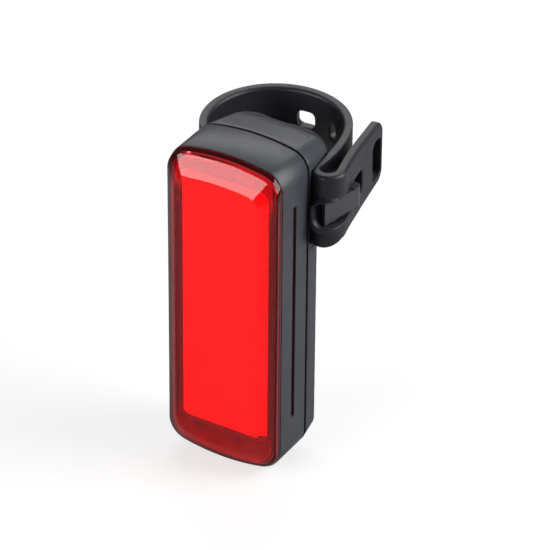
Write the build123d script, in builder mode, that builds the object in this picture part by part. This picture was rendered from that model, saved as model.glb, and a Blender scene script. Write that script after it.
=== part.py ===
from build123d import *
from math import acos, asin, atan2, cos, degrees, hypot, radians, sin, sqrt
import os

# Bicycle tail light that a rubber strap holds to a seat post. Millimetres.
# The origin is the bottom of the saddle pad's groove, where the post lies, level with the strap's middle.
# The light shines towards -Y, the strap is hooked on the +X side, and +Z is up.
# A "depth" is a distance behind the joint between lens and housing, so the lens is at negative depths.
# A "height" is a distance above the middle of the body.

os.makedirs("parts", exist_ok=True)

# Body
body_width = 28.0
body_height = 78.9
end_arc_radius = 47.7
corner_radius = 5.0
wall = 1.6
fit_gap = 0.1
board_gap = 0.3
strap_height = 24.0

# Depths of the stacked shells
seal_thickness = 0.3
rear_seal_thickness = 0.8
seal_inset = 0.35
housing_depth = 10.1
cover_side_depth = 4.2
block_depth = 5.6
pad_floor = 1.4

# Lens
lens_depth = 4.0
lens_rim_depth = 1.6
lens_rim_drop = 0.85
lens_side_bevel = 3.4
lens_end_bevel = 5.75
lens_face_arc_radius = 70.0
lens_face_corner = 3.8
lens_foot_wall = 2.3
lens_inner_depth = 0.7
lens_spigot = 0.9

# Light panel, its frame and its board
panel_width = 21.5
panel_height = 64.2
panel_rise = 1.1
panel_thickness = 0.7
panel_set_back = 0.8
panel_corner = 1.5
panel_lip = 0.9
bezel_inset = 2.7
bezel_depth = 2.2
board_thickness = 1.0
led_size = 2.0
led_height = 0.6
led_columns = 4
led_rows = 13
led_pitch_x = 5.0
led_pitch_z = 4.4

# Ledge inside the housing that carries both boards
ledge_width = 1.6
ledge_thickness = 1.0

# Light windows in the sides of the housing
window_depth = 5.28
window_width = 1.35
window_length = 54.7
window_height = 0.75
window_recess = 0.6
window_flange = 0.3
window_flange_thickness = 0.85

# Screws that close the body
screw_radius = 1.0
screw_head_radius = 1.8
screw_head_height = 1.3
screw_bite = 4.6
screw_boss_radius = 2.3
screw_head_gap = 0.2
screw_socket_radius = 0.9
screw_socket_depth = 0.8
upper_screw_x = 6.5
upper_screw_drop = 6.25
lower_screw_x = 10.2
lower_screw_rise = 6.5
upper_head_depth = 13.9

# Rear cover and the block on its upper half
cover_wall = 2.3
cover_side_draft = 0.15
cover_end_draft = 2.0
cover_corner = 4.0
cover_edge_radius = 0.5
block_half_width = 12.8
block_end_drop = 2.55
block_arc_radius = 90.0
block_corner = 4.6
block_foot_height = 13.6
core_half_width = 8.2
core_foot_height = 15.6
core_screw_wall = 0.7
core_back_wall = 2.1

# Saddle pad
pad_inset = 0.4
pad_lift = 0.3
pad_core_inset = 1.4
pad_groove_half_width = 5.0
pad_crest = 0.8
pad_crest_width = 1.6
pad_shoulder_drop = 0.6
peg_radius = 1.5
peg_length = 2.0
peg_heights = (18.0, 28.0)

# Strap, seen in plan
strap_width = 18.2
strap_thickness = 2.1
strap_clearance = 0.15
loop_radius = 15.8
loop_centre = (-3.5, 3.9)
side_radius = 34.0
root_radius = 3.5
root_join_angle = 212.0
pin_radius = 1.0
pin_centre = (-11.4, -6.6)
pin_clearance = 0.05
pin_end_wall = 1.6
pin_foot_recess = 0.3
pocket_gap = 0.3
eye_radius = 2.3
fold_radius = 3.0
fold_centre = (16.1, -6.75)
fold_front_angle = 270.0
tab_start_heading = 105.2
tab_end_heading = 98.2
tab_bend_length = 13.7
tab_tip_y = 17.7
tab_tip_low = -5.9
tab_low = -7.5
tab_knee_y = -7.0
tab_taper_y = 3.0
tab_corner = 3.0

# Openings in the strap; the loop's are given by angle and width
slot_half_height = 3.25
slot_height = -0.15
slot_back_y = 6.6
slot_back_corner = 1.6
slot_front_corner = 2.2
slot_end_lead = 0.6
stem_hole_front_y = -7.7
stem_hole_back_y = -3.2
tip_hole_front_y = 11.4
tip_hole_back_y = 16.8
tip_hole_half_height = 4.9
tip_hole_height = 0.6
opening_corner = 1.3
loop_holes = ((94.0, 4.7), (64.3, 3.2), (31.5, 3.4))
loop_hole_height = 4.0
loop_hole_middle = 1.8
collar_start_angle = 235.0
collar_end_angle = 335.0
collar_peak_angle = 255.0
collar_offset = 1.2
collar_height = 8.1
collar_middle = -0.5
collar_corner = 3.1
collar_thickness = 1.45
collar_start_x = 14.15

# Hook for the strap
hook_corner = (17.5, -10.3)
hook_arm_heading = 74.0
hook_arm_length = 9.85
hook_arm_low = -3.25
hook_arm_high = 2.9
hook_tip_low = -2.2
hook_tip_high = 2.0
hook_tip_corner = 1.5
hook_bend_corner = 0.8
hook_nub_radius = 1.38
hook_nub_low = -2.6
hook_nub_high = 2.45
hook_thickness = 1.8
hook_stem_y = -4.3
hook_stem_heading = -38.0
hook_stem_low = -2.3
hook_stem_high = 2.0
hook_neck_x = 15.9
hook_full_x = 17.3
hook_root_depth = 2.2
hook_root_height = 7.8
hook_root_front = 14.2
hook_root_back = 19.4

# Push button in the bottom of the housing
button_length = 8.7
button_width = 4.3
button_proud = 0.45
button_play = 0.15
button_travel = 0.6
button_flange = 0.95
button_flange_thickness = 0.7
seat_length = 13.2
seat_width = 6.6
seat_rise = 2.25

# Side-acting switch under the button
switch_length = 6.0
switch_width = 2.8
switch_height = 2.8
plunger_length = 2.6
plunger_width = 1.4
plunger_height = 1.75
plunger_gap = 0.05
plunger_sleeve = 0.75

# Driver board
driver_half_width = 11.2
driver_cell_gap = 2.6
driver_step_rise = 8.65
driver_foot_rise = 3.85
driver_foot_half_width = 7.4
header_drop = 4.5
header_length = 7.6
header_width = 1.8

# Chips and coil on the driver board: X and rise above the board's step, width and height, thickness
driver_parts = (
    ((-7.2, 2.2), (3.6, 3.6), 0.9),
    ((7.2, 5.8), (2.4, 2.4), 0.8),
    ((7.6, 2.4), (4.0, 4.0), 2.0),
    ((-5.4, -0.8), (1.6, 0.8), 0.8),
    ((-5.4, -2.2), (1.6, 0.8), 0.8),
)
capacitor_drop = 1.0
capacitor_places = (3.4, 7.6)
capacitor_length = 2.4
capacitor_width = 1.3
capacitor_thickness = 1.1

# Charging socket, vertical, and its cover
port_rise = 13.45
socket_length = 8.94
socket_width = 3.2
socket_skin = 0.3
socket_mouth_depth = 12.3
tongue_length = 6.7
tongue_width = 0.7
port_length = 9.4
port_width = 3.7
port_pad_thickness = 1.2
port_pad_half_width = 7.6
port_pad_below = 8.0
port_pad_above = 5.0
flap_width = 12.4
flap_height = 8.0
flap_thickness = 1.2
flap_corner = 1.6
flap_gap = 0.2
flap_clearance = 0.2
flap_plug_depth = 0.8
flap_plug_gap = 0.4
flap_lip_width = 4.0
flap_lip_height = 0.9
anchor_width = 8.0
anchor_height = 3.0
anchor_peg_radius = 0.9
anchor_peg_length = 1.4

# Battery and its tray
cell_width = 20.8
cell_height = 41.0
cell_thickness = 6.5
cell_corner = 2.4
tray_wall = 0.9
tray_floor = 0.7
tray_clearance = 0.05
tray_boss_gap = 0.4
lead_notch_clearance = 0.2
lead_radius = 0.55
lead_pitch = 1.5
lead_x = -7.5
lead_length = 4.0
lead_depth = 6.9
plug_length = 4.6
plug_width = 3.0
plug_height = 3.2

# Depths and heights that follow from the sizes above
housing_front = seal_thickness
housing_back = housing_front + housing_depth
cover_front = housing_back + rear_seal_thickness
cover_back = cover_front + cover_side_depth
block_back = cover_back + block_depth
joint_y = -(block_back + pad_floor)
body_middle = -strap_height
cover_inside = cover_back - cover_wall
led_board_front = bezel_depth
led_board_back = led_board_front + board_thickness
ledge_back = led_board_back + ledge_thickness
driver_front = ledge_back
driver_back = driver_front + board_thickness
tray_front = ledge_back
button_depth = driver_back + switch_width / 2
lower_head_depth = cover_back - screw_head_height
block_half_height = body_height / 2 - block_end_drop
seat_top_height = seat_rise - body_height / 2
port_height = port_rise - body_height / 2
upper_screw_height = body_height / 2 - upper_screw_drop
core_top_height = upper_screw_height - screw_head_radius - screw_head_gap - core_screw_wall
cell_foot_height = upper_screw_height - screw_boss_radius - tray_boss_gap - tray_wall - cell_height
driver_top_height = cell_foot_height - driver_cell_gap
driver_step_height = driver_step_rise - body_height / 2
driver_foot_height = driver_foot_rise - body_height / 2
header_height = driver_top_height - header_drop


def upright(depth, height=0.0):
    """Plane across the body at a depth and height; its axes are X and Z, and it faces the front."""
    return Plane(origin=(0, joint_y + depth, body_middle + height), x_dir=(1, 0, 0), z_dir=(0, -1, 0))


def bowed_outline(half_width, half_height, arc_radius, corner):
    """Upright outline with bowed ends and round corners."""
    shoulder = half_height - arc_radius + sqrt(arc_radius**2 - half_width**2)
    with BuildSketch() as outline:
        with BuildLine():
            Line((half_width, -shoulder), (half_width, shoulder))
            ThreePointArc((half_width, shoulder), (0, half_height), (-half_width, shoulder))
            Line((-half_width, shoulder), (-half_width, -shoulder))
            ThreePointArc((-half_width, -shoulder), (0, -half_height), (half_width, -shoulder))
        make_face()
        fillet(outline.vertices(), corner)
    return outline.sketch


def body_outline(inset=0.0):
    """Outline of the body, drawn in from its outer face by the inset."""
    return bowed_outline(
        body_width / 2 - inset,
        body_height / 2 - inset,
        end_arc_radius - inset,
        corner_radius - inset,
    )


def lens_rim_outline():
    """Outline of the lens where its rim ends and its bevels start."""
    return bowed_outline(body_width / 2, body_height / 2 - lens_rim_drop, end_arc_radius, corner_radius)


def lens_face_outline():
    """Outline of the flat front of the lens."""
    return bowed_outline(
        body_width / 2 - lens_side_bevel,
        body_height / 2 - lens_end_bevel,
        lens_face_arc_radius,
        lens_face_corner,
    )


def body_ring(front, back, outer_inset, inner_inset):
    """Ring between two insets of the body's outline, over a span of depth."""
    with BuildPart() as ring:
        with BuildSketch(upright(front)):
            add(body_outline(outer_inset))
            add(body_outline(inner_inset), mode=Mode.SUBTRACT)
        extrude(amount=front - back)
    return ring.part


def point_on(centre, radius, angle):
    """Point on a circle in plan, at an angle in degrees from +X."""
    return (centre[0] + radius * cos(radians(angle)), centre[1] + radius * sin(radians(angle)))


def crossing(point, heading, other_point, other_heading):
    """Point in plan where two straight lines meet, each given by a point and a heading."""
    turn = radians(other_heading - heading)
    to_other = (other_point[0] - point[0], other_point[1] - point[1])
    offset_side = to_other[0] * sin(radians(other_heading)) - to_other[1] * cos(radians(other_heading))
    return point_on(point, offset_side / sin(turn), heading)


# Lens cover: a thick clear moulding with a straight rim, long end bevels and short side bevels
lens_inner_face = -lens_inner_depth
with BuildPart() as lens_cover:
    with BuildSketch(upright(0)):
        add(body_outline())
    with BuildSketch(upright(-lens_rim_depth)):
        add(lens_rim_outline())
    loft(ruled=True)
    with BuildSketch(upright(-lens_rim_depth)):
        add(lens_rim_outline())
    with BuildSketch(upright(-lens_depth)):
        add(lens_face_outline())
    loft(ruled=True)
    with BuildSketch(upright(0)):
        add(body_outline(wall + fit_gap))
    extrude(amount=-lens_spigot)
    with BuildSketch(upright(lens_spigot)):
        add(body_outline(lens_foot_wall))
    extrude(amount=lens_spigot - lens_inner_face, mode=Mode.SUBTRACT)
lens_cover.part.label = "lens_cover"
export_step(lens_cover.part, "parts/lens_cover.step")

# Seals between lens and housing, and between housing and rear cover
with BuildPart() as lens_seal:
    add(body_ring(0, housing_front, seal_inset, wall))
lens_seal.part.label = "lens_seal"
export_step(lens_seal.part, "parts/lens_seal.step")

with BuildPart() as rear_seal:
    add(body_ring(housing_back, cover_front, seal_inset, wall))
rear_seal.part.label = "rear_seal"
export_step(rear_seal.part, "parts/rear_seal.step")

# Light panel: a milky plate that evens out the light
with BuildPart() as light_diffuser:
    with BuildSketch(upright(panel_set_back, panel_rise)):
        RectangleRounded(panel_width, panel_height, panel_corner)
    extrude(amount=-panel_thickness)
light_diffuser.part.label = "light_diffuser"
export_step(light_diffuser.part, "parts/light_diffuser.step")

# Bezel frame: a thin wall round the panel, wider at the ends, that holds it over the light board
panel_seat_depth = panel_set_back + panel_thickness
bezel_front = fit_gap - lens_inner_depth
with BuildPart() as bezel_frame:
    with BuildSketch(upright(bezel_front)):
        add(body_outline(bezel_inset))
    extrude(amount=bezel_front - bezel_depth)
    with BuildSketch(upright(bezel_front, panel_rise)):
        RectangleRounded(panel_width + 2 * fit_gap, panel_height + 2 * fit_gap, panel_corner + fit_gap)
    extrude(amount=bezel_front - panel_seat_depth, mode=Mode.SUBTRACT)
    with BuildSketch(upright(panel_seat_depth, panel_rise)):
        RectangleRounded(
            panel_width - 2 * panel_lip,
            panel_height - 2 * panel_lip,
            panel_corner - panel_lip / 2,
        )
    extrude(amount=panel_seat_depth - bezel_depth, mode=Mode.SUBTRACT)
bezel_frame.part.label = "bezel_frame"
export_step(bezel_frame.part, "parts/bezel_frame.step")

# Light board with its rows of light-emitting chips
with BuildPart() as led_board:
    with BuildSketch(upright(led_board_front)):
        add(body_outline(wall + board_gap))
    extrude(amount=-board_thickness)
led_board.part.label = "led_board"
export_step(led_board.part, "parts/led_board.step")

with BuildPart() as led_chips:
    with BuildSketch(upright(led_board_front, panel_rise)):
        with GridLocations(led_pitch_x, led_pitch_z, led_columns, led_rows):
            Rectangle(led_size, led_size)
    extrude(amount=led_height)
led_chips.part.label = "led_chips"
export_step(led_chips.part, "parts/led_chips.step")

# Places of the four body screws, as X and height
lower_screw_height = lower_screw_rise - body_height / 2
upper_screws = [(side * upper_screw_x, upper_screw_height) for side in (-1, 1)]
lower_screws = [(side * lower_screw_x, lower_screw_height) for side in (-1, 1)]
all_screws = upper_screws + lower_screws
screw_rows = ((upper_screws, upper_head_depth), (lower_screws, lower_head_depth))
boss_front = driver_back + fit_gap
boss_rib = screw_boss_radius + wall + corner_radius

# Front housing: a frame open to the front and the rear
with BuildPart() as front_housing:
    add(body_ring(housing_front, housing_back, 0, wall))
    add(body_ring(led_board_back, ledge_back, wall, wall + ledge_width))
    with BuildSketch(upright(boss_front)):
        with Locations(*all_screws):
            Circle(screw_boss_radius)
        for x, height in all_screws:
            outward = 1 if height > 0 else -1
            with Locations((x, height + outward * boss_rib / 2)):
                Rectangle(2 * screw_boss_radius, boss_rib)
        add(body_outline(wall / 2), mode=Mode.INTERSECT)
    extrude(amount=boss_front - housing_back)
    with BuildSketch(upright(housing_back)):
        with Locations(*all_screws):
            Circle(screw_radius + fit_gap / 2)
    extrude(amount=screw_bite, mode=Mode.SUBTRACT)
    # Slots for the light windows
    with Locations((0, joint_y + window_depth, body_middle + window_height)):
        Box(2 * body_width, window_width, window_length, mode=Mode.SUBTRACT)
    # Flat seat round the button's opening, and the opening itself
    seat_plane = Plane.XY.offset(body_middle + seat_top_height)
    with BuildSketch(seat_plane):
        with Locations((0, joint_y + button_depth)):
            Rectangle(seat_length, seat_width)
    extrude(amount=-(body_height / 2 + seat_top_height - wall / 2))
    with BuildSketch(seat_plane.offset(ledge_width + wall)):
        with Locations((0, joint_y + button_depth)):
            Rectangle(seat_length, seat_width)
    extrude(amount=-(ledge_width + wall), mode=Mode.SUBTRACT)
    with BuildSketch(seat_plane):
        with Locations((0, joint_y + button_depth)):
            SlotOverall(button_length + 2 * button_play, button_width + 2 * button_play)
    extrude(amount=-body_width / 2, mode=Mode.SUBTRACT)
front_housing.part.label = "front_housing"
export_step(front_housing.part, "parts/front_housing.step")

# Light windows: clear strips pushed into the side slots from inside
window_outer_x = body_width / 2 - window_recess
window_inner_x = body_width / 2 - wall - window_flange_thickness
for side, side_name in ((-1, "left"), (1, "right")):
    with BuildPart() as side_window:
        with BuildSketch(Plane.YZ.offset(side * window_inner_x)):
            with Locations((joint_y + window_depth, body_middle + window_height)):
                Rectangle(window_width - fit_gap, window_length - fit_gap)
        extrude(amount=side * (window_outer_x - window_inner_x))
        with BuildSketch(Plane.YZ.offset(side * window_inner_x)):
            with Locations((joint_y + window_depth, body_middle + window_height)):
                Rectangle(window_width + 2 * window_flange, window_length + 2 * window_flange)
        extrude(amount=side * (window_flange_thickness - fit_gap / 2))
    side_window.part.label = f"side_window_{side_name}"
    export_step(side_window.part, f"parts/side_window_{side_name}.step")

# Push button: an oval cap with a flange inside the housing
flange_bottom_height = seat_top_height + fit_gap
button_bottom_height = -body_height / 2 - button_proud
with BuildPart() as power_button:
    with BuildSketch(Plane.XY.offset(body_middle + button_bottom_height)):
        with Locations((0, joint_y + button_depth)):
            SlotOverall(button_length, button_width)
    extrude(amount=flange_bottom_height - button_bottom_height)
    fillet(power_button.faces().sort_by(Axis.Z)[0].edges(), button_proud / 2)
    with BuildSketch(Plane.XY.offset(body_middle + flange_bottom_height)):
        with Locations((0, joint_y + button_depth)):
            SlotOverall(button_length + 2 * button_flange, button_width + 2 * button_flange)
    extrude(amount=button_flange_thickness)
power_button.part.label = "power_button"
export_step(power_button.part, "parts/power_button.step")

# Side-acting switch: its plunger stands on the button's flange
plunger_foot_height = flange_bottom_height + button_flange_thickness + plunger_gap
switch_foot_height = plunger_foot_height + plunger_sleeve
plunger_top_height = plunger_foot_height + plunger_height
with BuildPart() as tact_switch:
    with Locations((0, joint_y + button_depth, body_middle + switch_foot_height)):
        Box(switch_length, switch_width, switch_height, align=(Align.CENTER, Align.CENTER, Align.MIN))
        Box(
            plunger_length + fit_gap,
            plunger_width + fit_gap,
            plunger_top_height + button_travel + fit_gap - switch_foot_height,
            align=(Align.CENTER, Align.CENTER, Align.MIN),
            mode=Mode.SUBTRACT,
        )
tact_switch.part.label = "tact_switch"
export_step(tact_switch.part, "parts/tact_switch.step")

with BuildPart() as switch_plunger:
    with Locations((0, joint_y + button_depth, body_middle + plunger_foot_height)):
        Box(plunger_length, plunger_width, plunger_height, align=(Align.CENTER, Align.CENTER, Align.MIN))
switch_plunger.part.label = "switch_plunger"
export_step(switch_plunger.part, "parts/switch_plunger.step")

# Driver board, stepped in between the lower screw bosses
with BuildPart() as driver_board:
    with BuildSketch(upright(driver_front)):
        with Locations((0, driver_top_height)):
            Rectangle(
                2 * driver_half_width,
                driver_top_height - driver_step_height,
                align=(Align.CENTER, Align.MAX),
            )
        with Locations((0, driver_step_height)):
            Rectangle(
                2 * driver_foot_half_width,
                driver_step_height - driver_foot_height,
                align=(Align.CENTER, Align.MAX),
            )
    extrude(amount=-board_thickness)
driver_board.part.label = "driver_board"
export_step(driver_board.part, "parts/driver_board.step")

with BuildPart() as driver_chips:
    for place, size, thickness in driver_parts:
        with BuildSketch(upright(driver_back, driver_step_height)):
            with Locations(place):
                Rectangle(*size)
        extrude(amount=-thickness)
    with BuildSketch(upright(driver_back, driver_top_height - capacitor_drop)):
        with Locations(*[(x, 0) for x in capacitor_places]):
            Rectangle(capacitor_length, capacitor_width)
    extrude(amount=-capacitor_thickness)
driver_chips.part.label = "driver_chips"
export_step(driver_chips.part, "parts/driver_chips.step")

# Header that links the two boards across the ledge
with BuildPart() as board_header:
    with BuildSketch(upright(led_board_back, header_height)):
        Rectangle(header_length, header_width)
    extrude(amount=led_board_back - driver_front)
board_header.part.label = "board_header"
export_step(board_header.part, "parts/board_header.step")

# Charging socket: an oval metal shell, and the tongue inside it
with BuildPart() as socket_shell:
    with BuildSketch(upright(driver_back, port_height)):
        SlotOverall(socket_length, socket_width)
    extrude(amount=driver_back - socket_mouth_depth)
    with BuildSketch(upright(driver_back + board_thickness, port_height)):
        SlotOverall(socket_length - 2 * socket_skin, socket_width - 2 * socket_skin)
    extrude(amount=driver_back + board_thickness - socket_mouth_depth, mode=Mode.SUBTRACT)
socket_shell.part.label = "socket_shell"
export_step(socket_shell.part, "parts/socket_shell.step")

with BuildPart() as socket_tongue:
    with BuildSketch(upright(driver_back + board_thickness, port_height)):
        Rectangle(tongue_length, tongue_width)
    extrude(amount=driver_back + 2 * board_thickness - socket_mouth_depth)
socket_tongue.part.label = "socket_tongue"
export_step(socket_tongue.part, "parts/socket_tongue.step")

# Battery: a pouch cell in a plastic tray, with a foam pad behind it
cell_middle_height = cell_foot_height + cell_height / 2
tray_back = tray_front + tray_floor + cell_thickness
cell_front = tray_front + tray_floor
with BuildPart() as battery_cell:
    with BuildSketch(upright(cell_front, cell_middle_height)):
        Rectangle(cell_width, cell_height)
    extrude(amount=-cell_thickness)
    fillet(battery_cell.edges().filter_by(Axis.Z), cell_corner)
battery_cell.part.label = "battery_cell"
export_step(battery_cell.part, "parts/battery_cell.step")

with BuildPart() as battery_tray:
    with BuildSketch(upright(tray_front, cell_middle_height)):
        Rectangle(cell_width + 2 * tray_wall, cell_height + 2 * tray_wall)
    extrude(amount=tray_front - tray_back)
    with BuildSketch(upright(cell_front, cell_middle_height)):
        Rectangle(cell_width + 2 * tray_clearance, cell_height + 2 * tray_clearance)
    extrude(amount=cell_front - tray_back, mode=Mode.SUBTRACT)
    # Notch for the leads in the lower wall
    with Locations((lead_x, joint_y + tray_back, body_middle + cell_foot_height)):
        Box(
            lead_pitch + 2 * (lead_radius + lead_notch_clearance),
            2 * (tray_back - lead_depth + lead_radius + lead_notch_clearance),
            4 * tray_wall,
            mode=Mode.SUBTRACT,
        )
battery_tray.part.label = "battery_tray"
export_step(battery_tray.part, "parts/battery_tray.step")

with BuildPart() as battery_foam:
    with BuildSketch(upright(tray_back, cell_middle_height)):
        Rectangle(cell_width - 2 * cell_corner, cell_height - 2 * cell_corner)
    extrude(amount=tray_back - cover_inside)
battery_foam.part.label = "battery_foam"
export_step(battery_foam.part, "parts/battery_foam.step")

# Battery leads run straight down from the cell into their plug on the driver board
with BuildPart() as battery_leads:
    with BuildSketch(Plane.XY.offset(body_middle + cell_foot_height)):
        with Locations((lead_x, joint_y + lead_depth)):
            with GridLocations(lead_pitch, lead_pitch, 2, 1):
                Circle(lead_radius)
    extrude(amount=-lead_length)
battery_leads.part.label = "battery_leads"
export_step(battery_leads.part, "parts/battery_leads.step")

with BuildPart() as battery_plug:
    with BuildSketch(upright(driver_back, cell_foot_height - lead_length)):
        with Locations((lead_x, 0)):
            Rectangle(plug_length, plug_width, align=(Align.CENTER, Align.MAX))
    extrude(amount=-plug_height)
battery_plug.part.label = "battery_plug"
export_step(battery_plug.part, "parts/battery_plug.step")

# Path of the strap in plan: eye, root, loop round the post, bowed side, fold and pull tab
loop_to_root = loop_radius - root_radius
root_centre = point_on(loop_centre, loop_to_root, root_join_angle)
root_to_pin = hypot(pin_centre[0] - root_centre[0], pin_centre[1] - root_centre[1])
root_pin_angle = degrees(atan2(pin_centre[1] - root_centre[1], pin_centre[0] - root_centre[0])) % 360
root_start_angle = root_pin_angle - degrees(acos(root_radius / root_to_pin))
root_start = point_on(root_centre, root_radius, root_start_angle)
loop_to_fold = hypot(fold_centre[0] - loop_centre[0], fold_centre[1] - loop_centre[1])
loop_fold_angle = degrees(atan2(fold_centre[1] - loop_centre[1], fold_centre[0] - loop_centre[0]))
side_to_loop = side_radius - loop_radius
side_to_fold = side_radius + fold_radius
side_reach = (side_to_loop**2 - side_to_fold**2 + loop_to_fold**2) / (2 * loop_to_fold)
side_centre = point_on(loop_centre, side_to_loop, loop_fold_angle - degrees(acos(side_reach / side_to_loop)))
loop_end_angle = degrees(atan2(loop_centre[1] - side_centre[1], loop_centre[0] - side_centre[0]))
side_end_angle = degrees(atan2(fold_centre[1] - side_centre[1], fold_centre[0] - side_centre[0]))
fold_start_angle = side_end_angle + 180
fold_end_angle = tab_start_heading - 90
fold_end = point_on(fold_centre, fold_radius, fold_end_angle)
tab_bend = tab_start_heading - tab_end_heading
tab_radius = tab_bend_length / radians(tab_bend)
tab_centre = point_on(fold_end, tab_radius, tab_start_heading - 90)
tab_bend_end = point_on(tab_centre, tab_radius, tab_end_heading + 90)
tab_run = (tab_tip_y + strap_thickness - tab_bend_end[1]) / sin(radians(tab_end_heading))
strap_half = strap_thickness / 2

with BuildLine() as band_path:
    Line(pin_centre, root_start)
    CenterArc(root_centre, root_radius, root_start_angle, root_join_angle - root_start_angle)
    CenterArc(loop_centre, loop_radius, root_join_angle, loop_end_angle - root_join_angle)
    CenterArc(side_centre, side_radius, loop_end_angle, side_end_angle - loop_end_angle)
    CenterArc(fold_centre, fold_radius, fold_start_angle, fold_front_angle - fold_start_angle)

with BuildLine() as tab_path:
    CenterArc(fold_centre, fold_radius, fold_front_angle, fold_end_angle + 360 - fold_front_angle)
    CenterArc(tab_centre, tab_radius, tab_start_heading + 90, -tab_bend)
    PolarLine(tab_bend_end, tab_run, tab_end_heading)

# Pull tab: the strap's free end from the fold's front on, cut to its outline as seen from the side
fold_outer_radius = fold_radius + strap_half
fold_front_y = fold_centre[1] - fold_outer_radius
with BuildPart() as pull_tab:
    with BuildSketch(Plane.XY.offset(-strap_width)):
        with BuildLine():
            offset(tab_path.line, strap_half, side=Side.BOTH)
        make_face()
    extrude(amount=2 * strap_width)
    with BuildSketch(Plane.YZ) as tab_side:
        with BuildLine():
            Polyline(
                (fold_front_y, -strap_width / 2),
                (tab_knee_y, tab_low),
                (tab_taper_y, tab_low),
                (tab_tip_y, tab_tip_low),
                (tab_tip_y, strap_width / 2),
                (fold_front_y, strap_width / 2),
                close=True,
            )
        make_face()
        fillet(tab_side.vertices().group_by(Axis.X)[-1], tab_corner)
    extrude(amount=2 * body_width, both=True, mode=Mode.INTERSECT)

# Raised collar round the front end of the slot: proud of the fold in front, level with it at the side
collar_radius = fold_outer_radius + collar_thickness - collar_offset
collar_reach = 2 * collar_radius
with BuildPart() as slot_collar:
    with BuildSketch(Plane.XY.offset(collar_middle - collar_height / 2)):
        with Locations(point_on(fold_centre, collar_offset, collar_peak_angle)):
            Circle(collar_radius)
        with BuildLine():
            Polyline(
                fold_centre,
                point_on(fold_centre, collar_reach, collar_start_angle),
                point_on(fold_centre, collar_reach, (collar_start_angle + collar_end_angle) / 2),
                point_on(fold_centre, collar_reach, collar_end_angle),
                close=True,
            )
        make_face(mode=Mode.INTERSECT)
        with Locations(fold_centre):
            Circle(fold_radius, mode=Mode.SUBTRACT)
    extrude(amount=collar_height)
    with BuildSketch(Plane.XZ.offset(-fold_centre[1])):
        with Locations((collar_start_x + body_width / 2, collar_middle)):
            RectangleRounded(body_width, collar_height, collar_corner)
    extrude(amount=body_width, mode=Mode.INTERSECT)


def across_band(point, heading, width, height, middle):
    """Rounded opening cut square through the strap at a point of its path."""
    along = Vector(cos(radians(heading)), sin(radians(heading)), 0)
    level = Plane(origin=(*point, middle), x_dir=along, z_dir=along.cross(Vector(0, 0, 1)))
    with BuildPart() as opening:
        with BuildSketch(level):
            RectangleRounded(width, height, opening_corner)
        extrude(amount=strap_thickness, both=True)
    return opening.part


stem_hole_span = stem_hole_back_y - stem_hole_front_y
stem_hole_y = (stem_hole_back_y + stem_hole_front_y) / 2
stem_hole_angle = degrees(asin((stem_hole_y - side_centre[1]) / side_radius))
stem_hole_place = point_on(side_centre, side_radius, stem_hole_angle)
tip_hole_y = (tip_hole_front_y + tip_hole_back_y) / 2
tip_hole_place = crossing(tab_bend_end, tab_end_heading, (0, tip_hole_y), 0)

with BuildPart() as strap:
    with BuildSketch(Plane.XY.offset(-strap_width / 2)):
        with BuildLine():
            offset(band_path.line, strap_half, side=Side.BOTH)
        make_face()
        with Locations(pin_centre):
            Circle(eye_radius)
    extrude(amount=strap_width)
    add(pull_tab.part)
    add(slot_collar.part)
    # Slot that the hook comes out of, seen from the side and from the front
    slot_span = slot_back_y - fold_centre[1] + slot_back_corner
    with BuildSketch(Plane.YZ.offset(fold_centre[0])):
        with Locations((slot_back_y - slot_span / 2, slot_height)):
            RectangleRounded(slot_span, 2 * slot_half_height, slot_back_corner)
    extrude(amount=body_width, mode=Mode.SUBTRACT)
    with BuildSketch(Plane.XZ.offset(-fold_centre[1])):
        with Locations((fold_centre[0] - slot_end_lead + body_width / 2, slot_height)):
            RectangleRounded(body_width, 2 * slot_half_height, slot_front_corner)
    extrude(amount=body_width, mode=Mode.SUBTRACT)
    # Openings through the loop, through the side for the hook's stem, and near the tip
    for angle, width in loop_holes:
        add(
            across_band(
                point_on(loop_centre, loop_radius, angle),
                angle - 90,
                width,
                loop_hole_height,
                loop_hole_middle,
            ),
            mode=Mode.SUBTRACT,
        )
    add(
        across_band(stem_hole_place, stem_hole_angle - 90, stem_hole_span, 2 * slot_half_height, slot_height),
        mode=Mode.SUBTRACT,
    )
    add(
        across_band(
            tip_hole_place,
            tab_end_heading,
            tip_hole_back_y - tip_hole_front_y,
            2 * tip_hole_half_height,
            tip_hole_height,
        ),
        mode=Mode.SUBTRACT,
    )
    # Bore for the pin
    with BuildSketch(Plane.XY.offset(-strap_width / 2)):
        with Locations(pin_centre):
            Circle(pin_radius + pin_clearance)
    extrude(amount=strap_width, mode=Mode.SUBTRACT)
strap.part.label = "strap"
export_step(strap.part, "parts/strap.step")

# Pin that carries the strap's eye in the block's left side, pushed in from below
pocket_half_height = strap_width / 2 + pocket_gap
pin_foot_z = body_middle + block_foot_height + pin_foot_recess
pin_top_z = pocket_half_height + pin_end_wall
with BuildPart() as strap_pin:
    with BuildSketch(Plane.XY.offset(pin_foot_z)):
        with Locations(pin_centre):
            Circle(pin_radius)
    extrude(amount=pin_top_z - pin_foot_z)
strap_pin.part.label = "strap_pin"
export_step(strap_pin.part, "parts/strap_pin.step")

# Room for the strap's side and fold along the block's right side
channel_x = fold_centre[0] - fold_outer_radius - strap_clearance
channel_back_y = pad_crest + strap_thickness
with BuildPart() as strap_channel:
    with BuildSketch(Plane.XY.offset(-pocket_half_height)):
        with Locations(fold_centre):
            Circle(fold_outer_radius + strap_clearance)
        with Locations((channel_x, fold_centre[1])):
            Rectangle(body_width, channel_back_y - fold_centre[1], align=(Align.MIN, Align.MIN))
    extrude(amount=2 * pocket_half_height)

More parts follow.
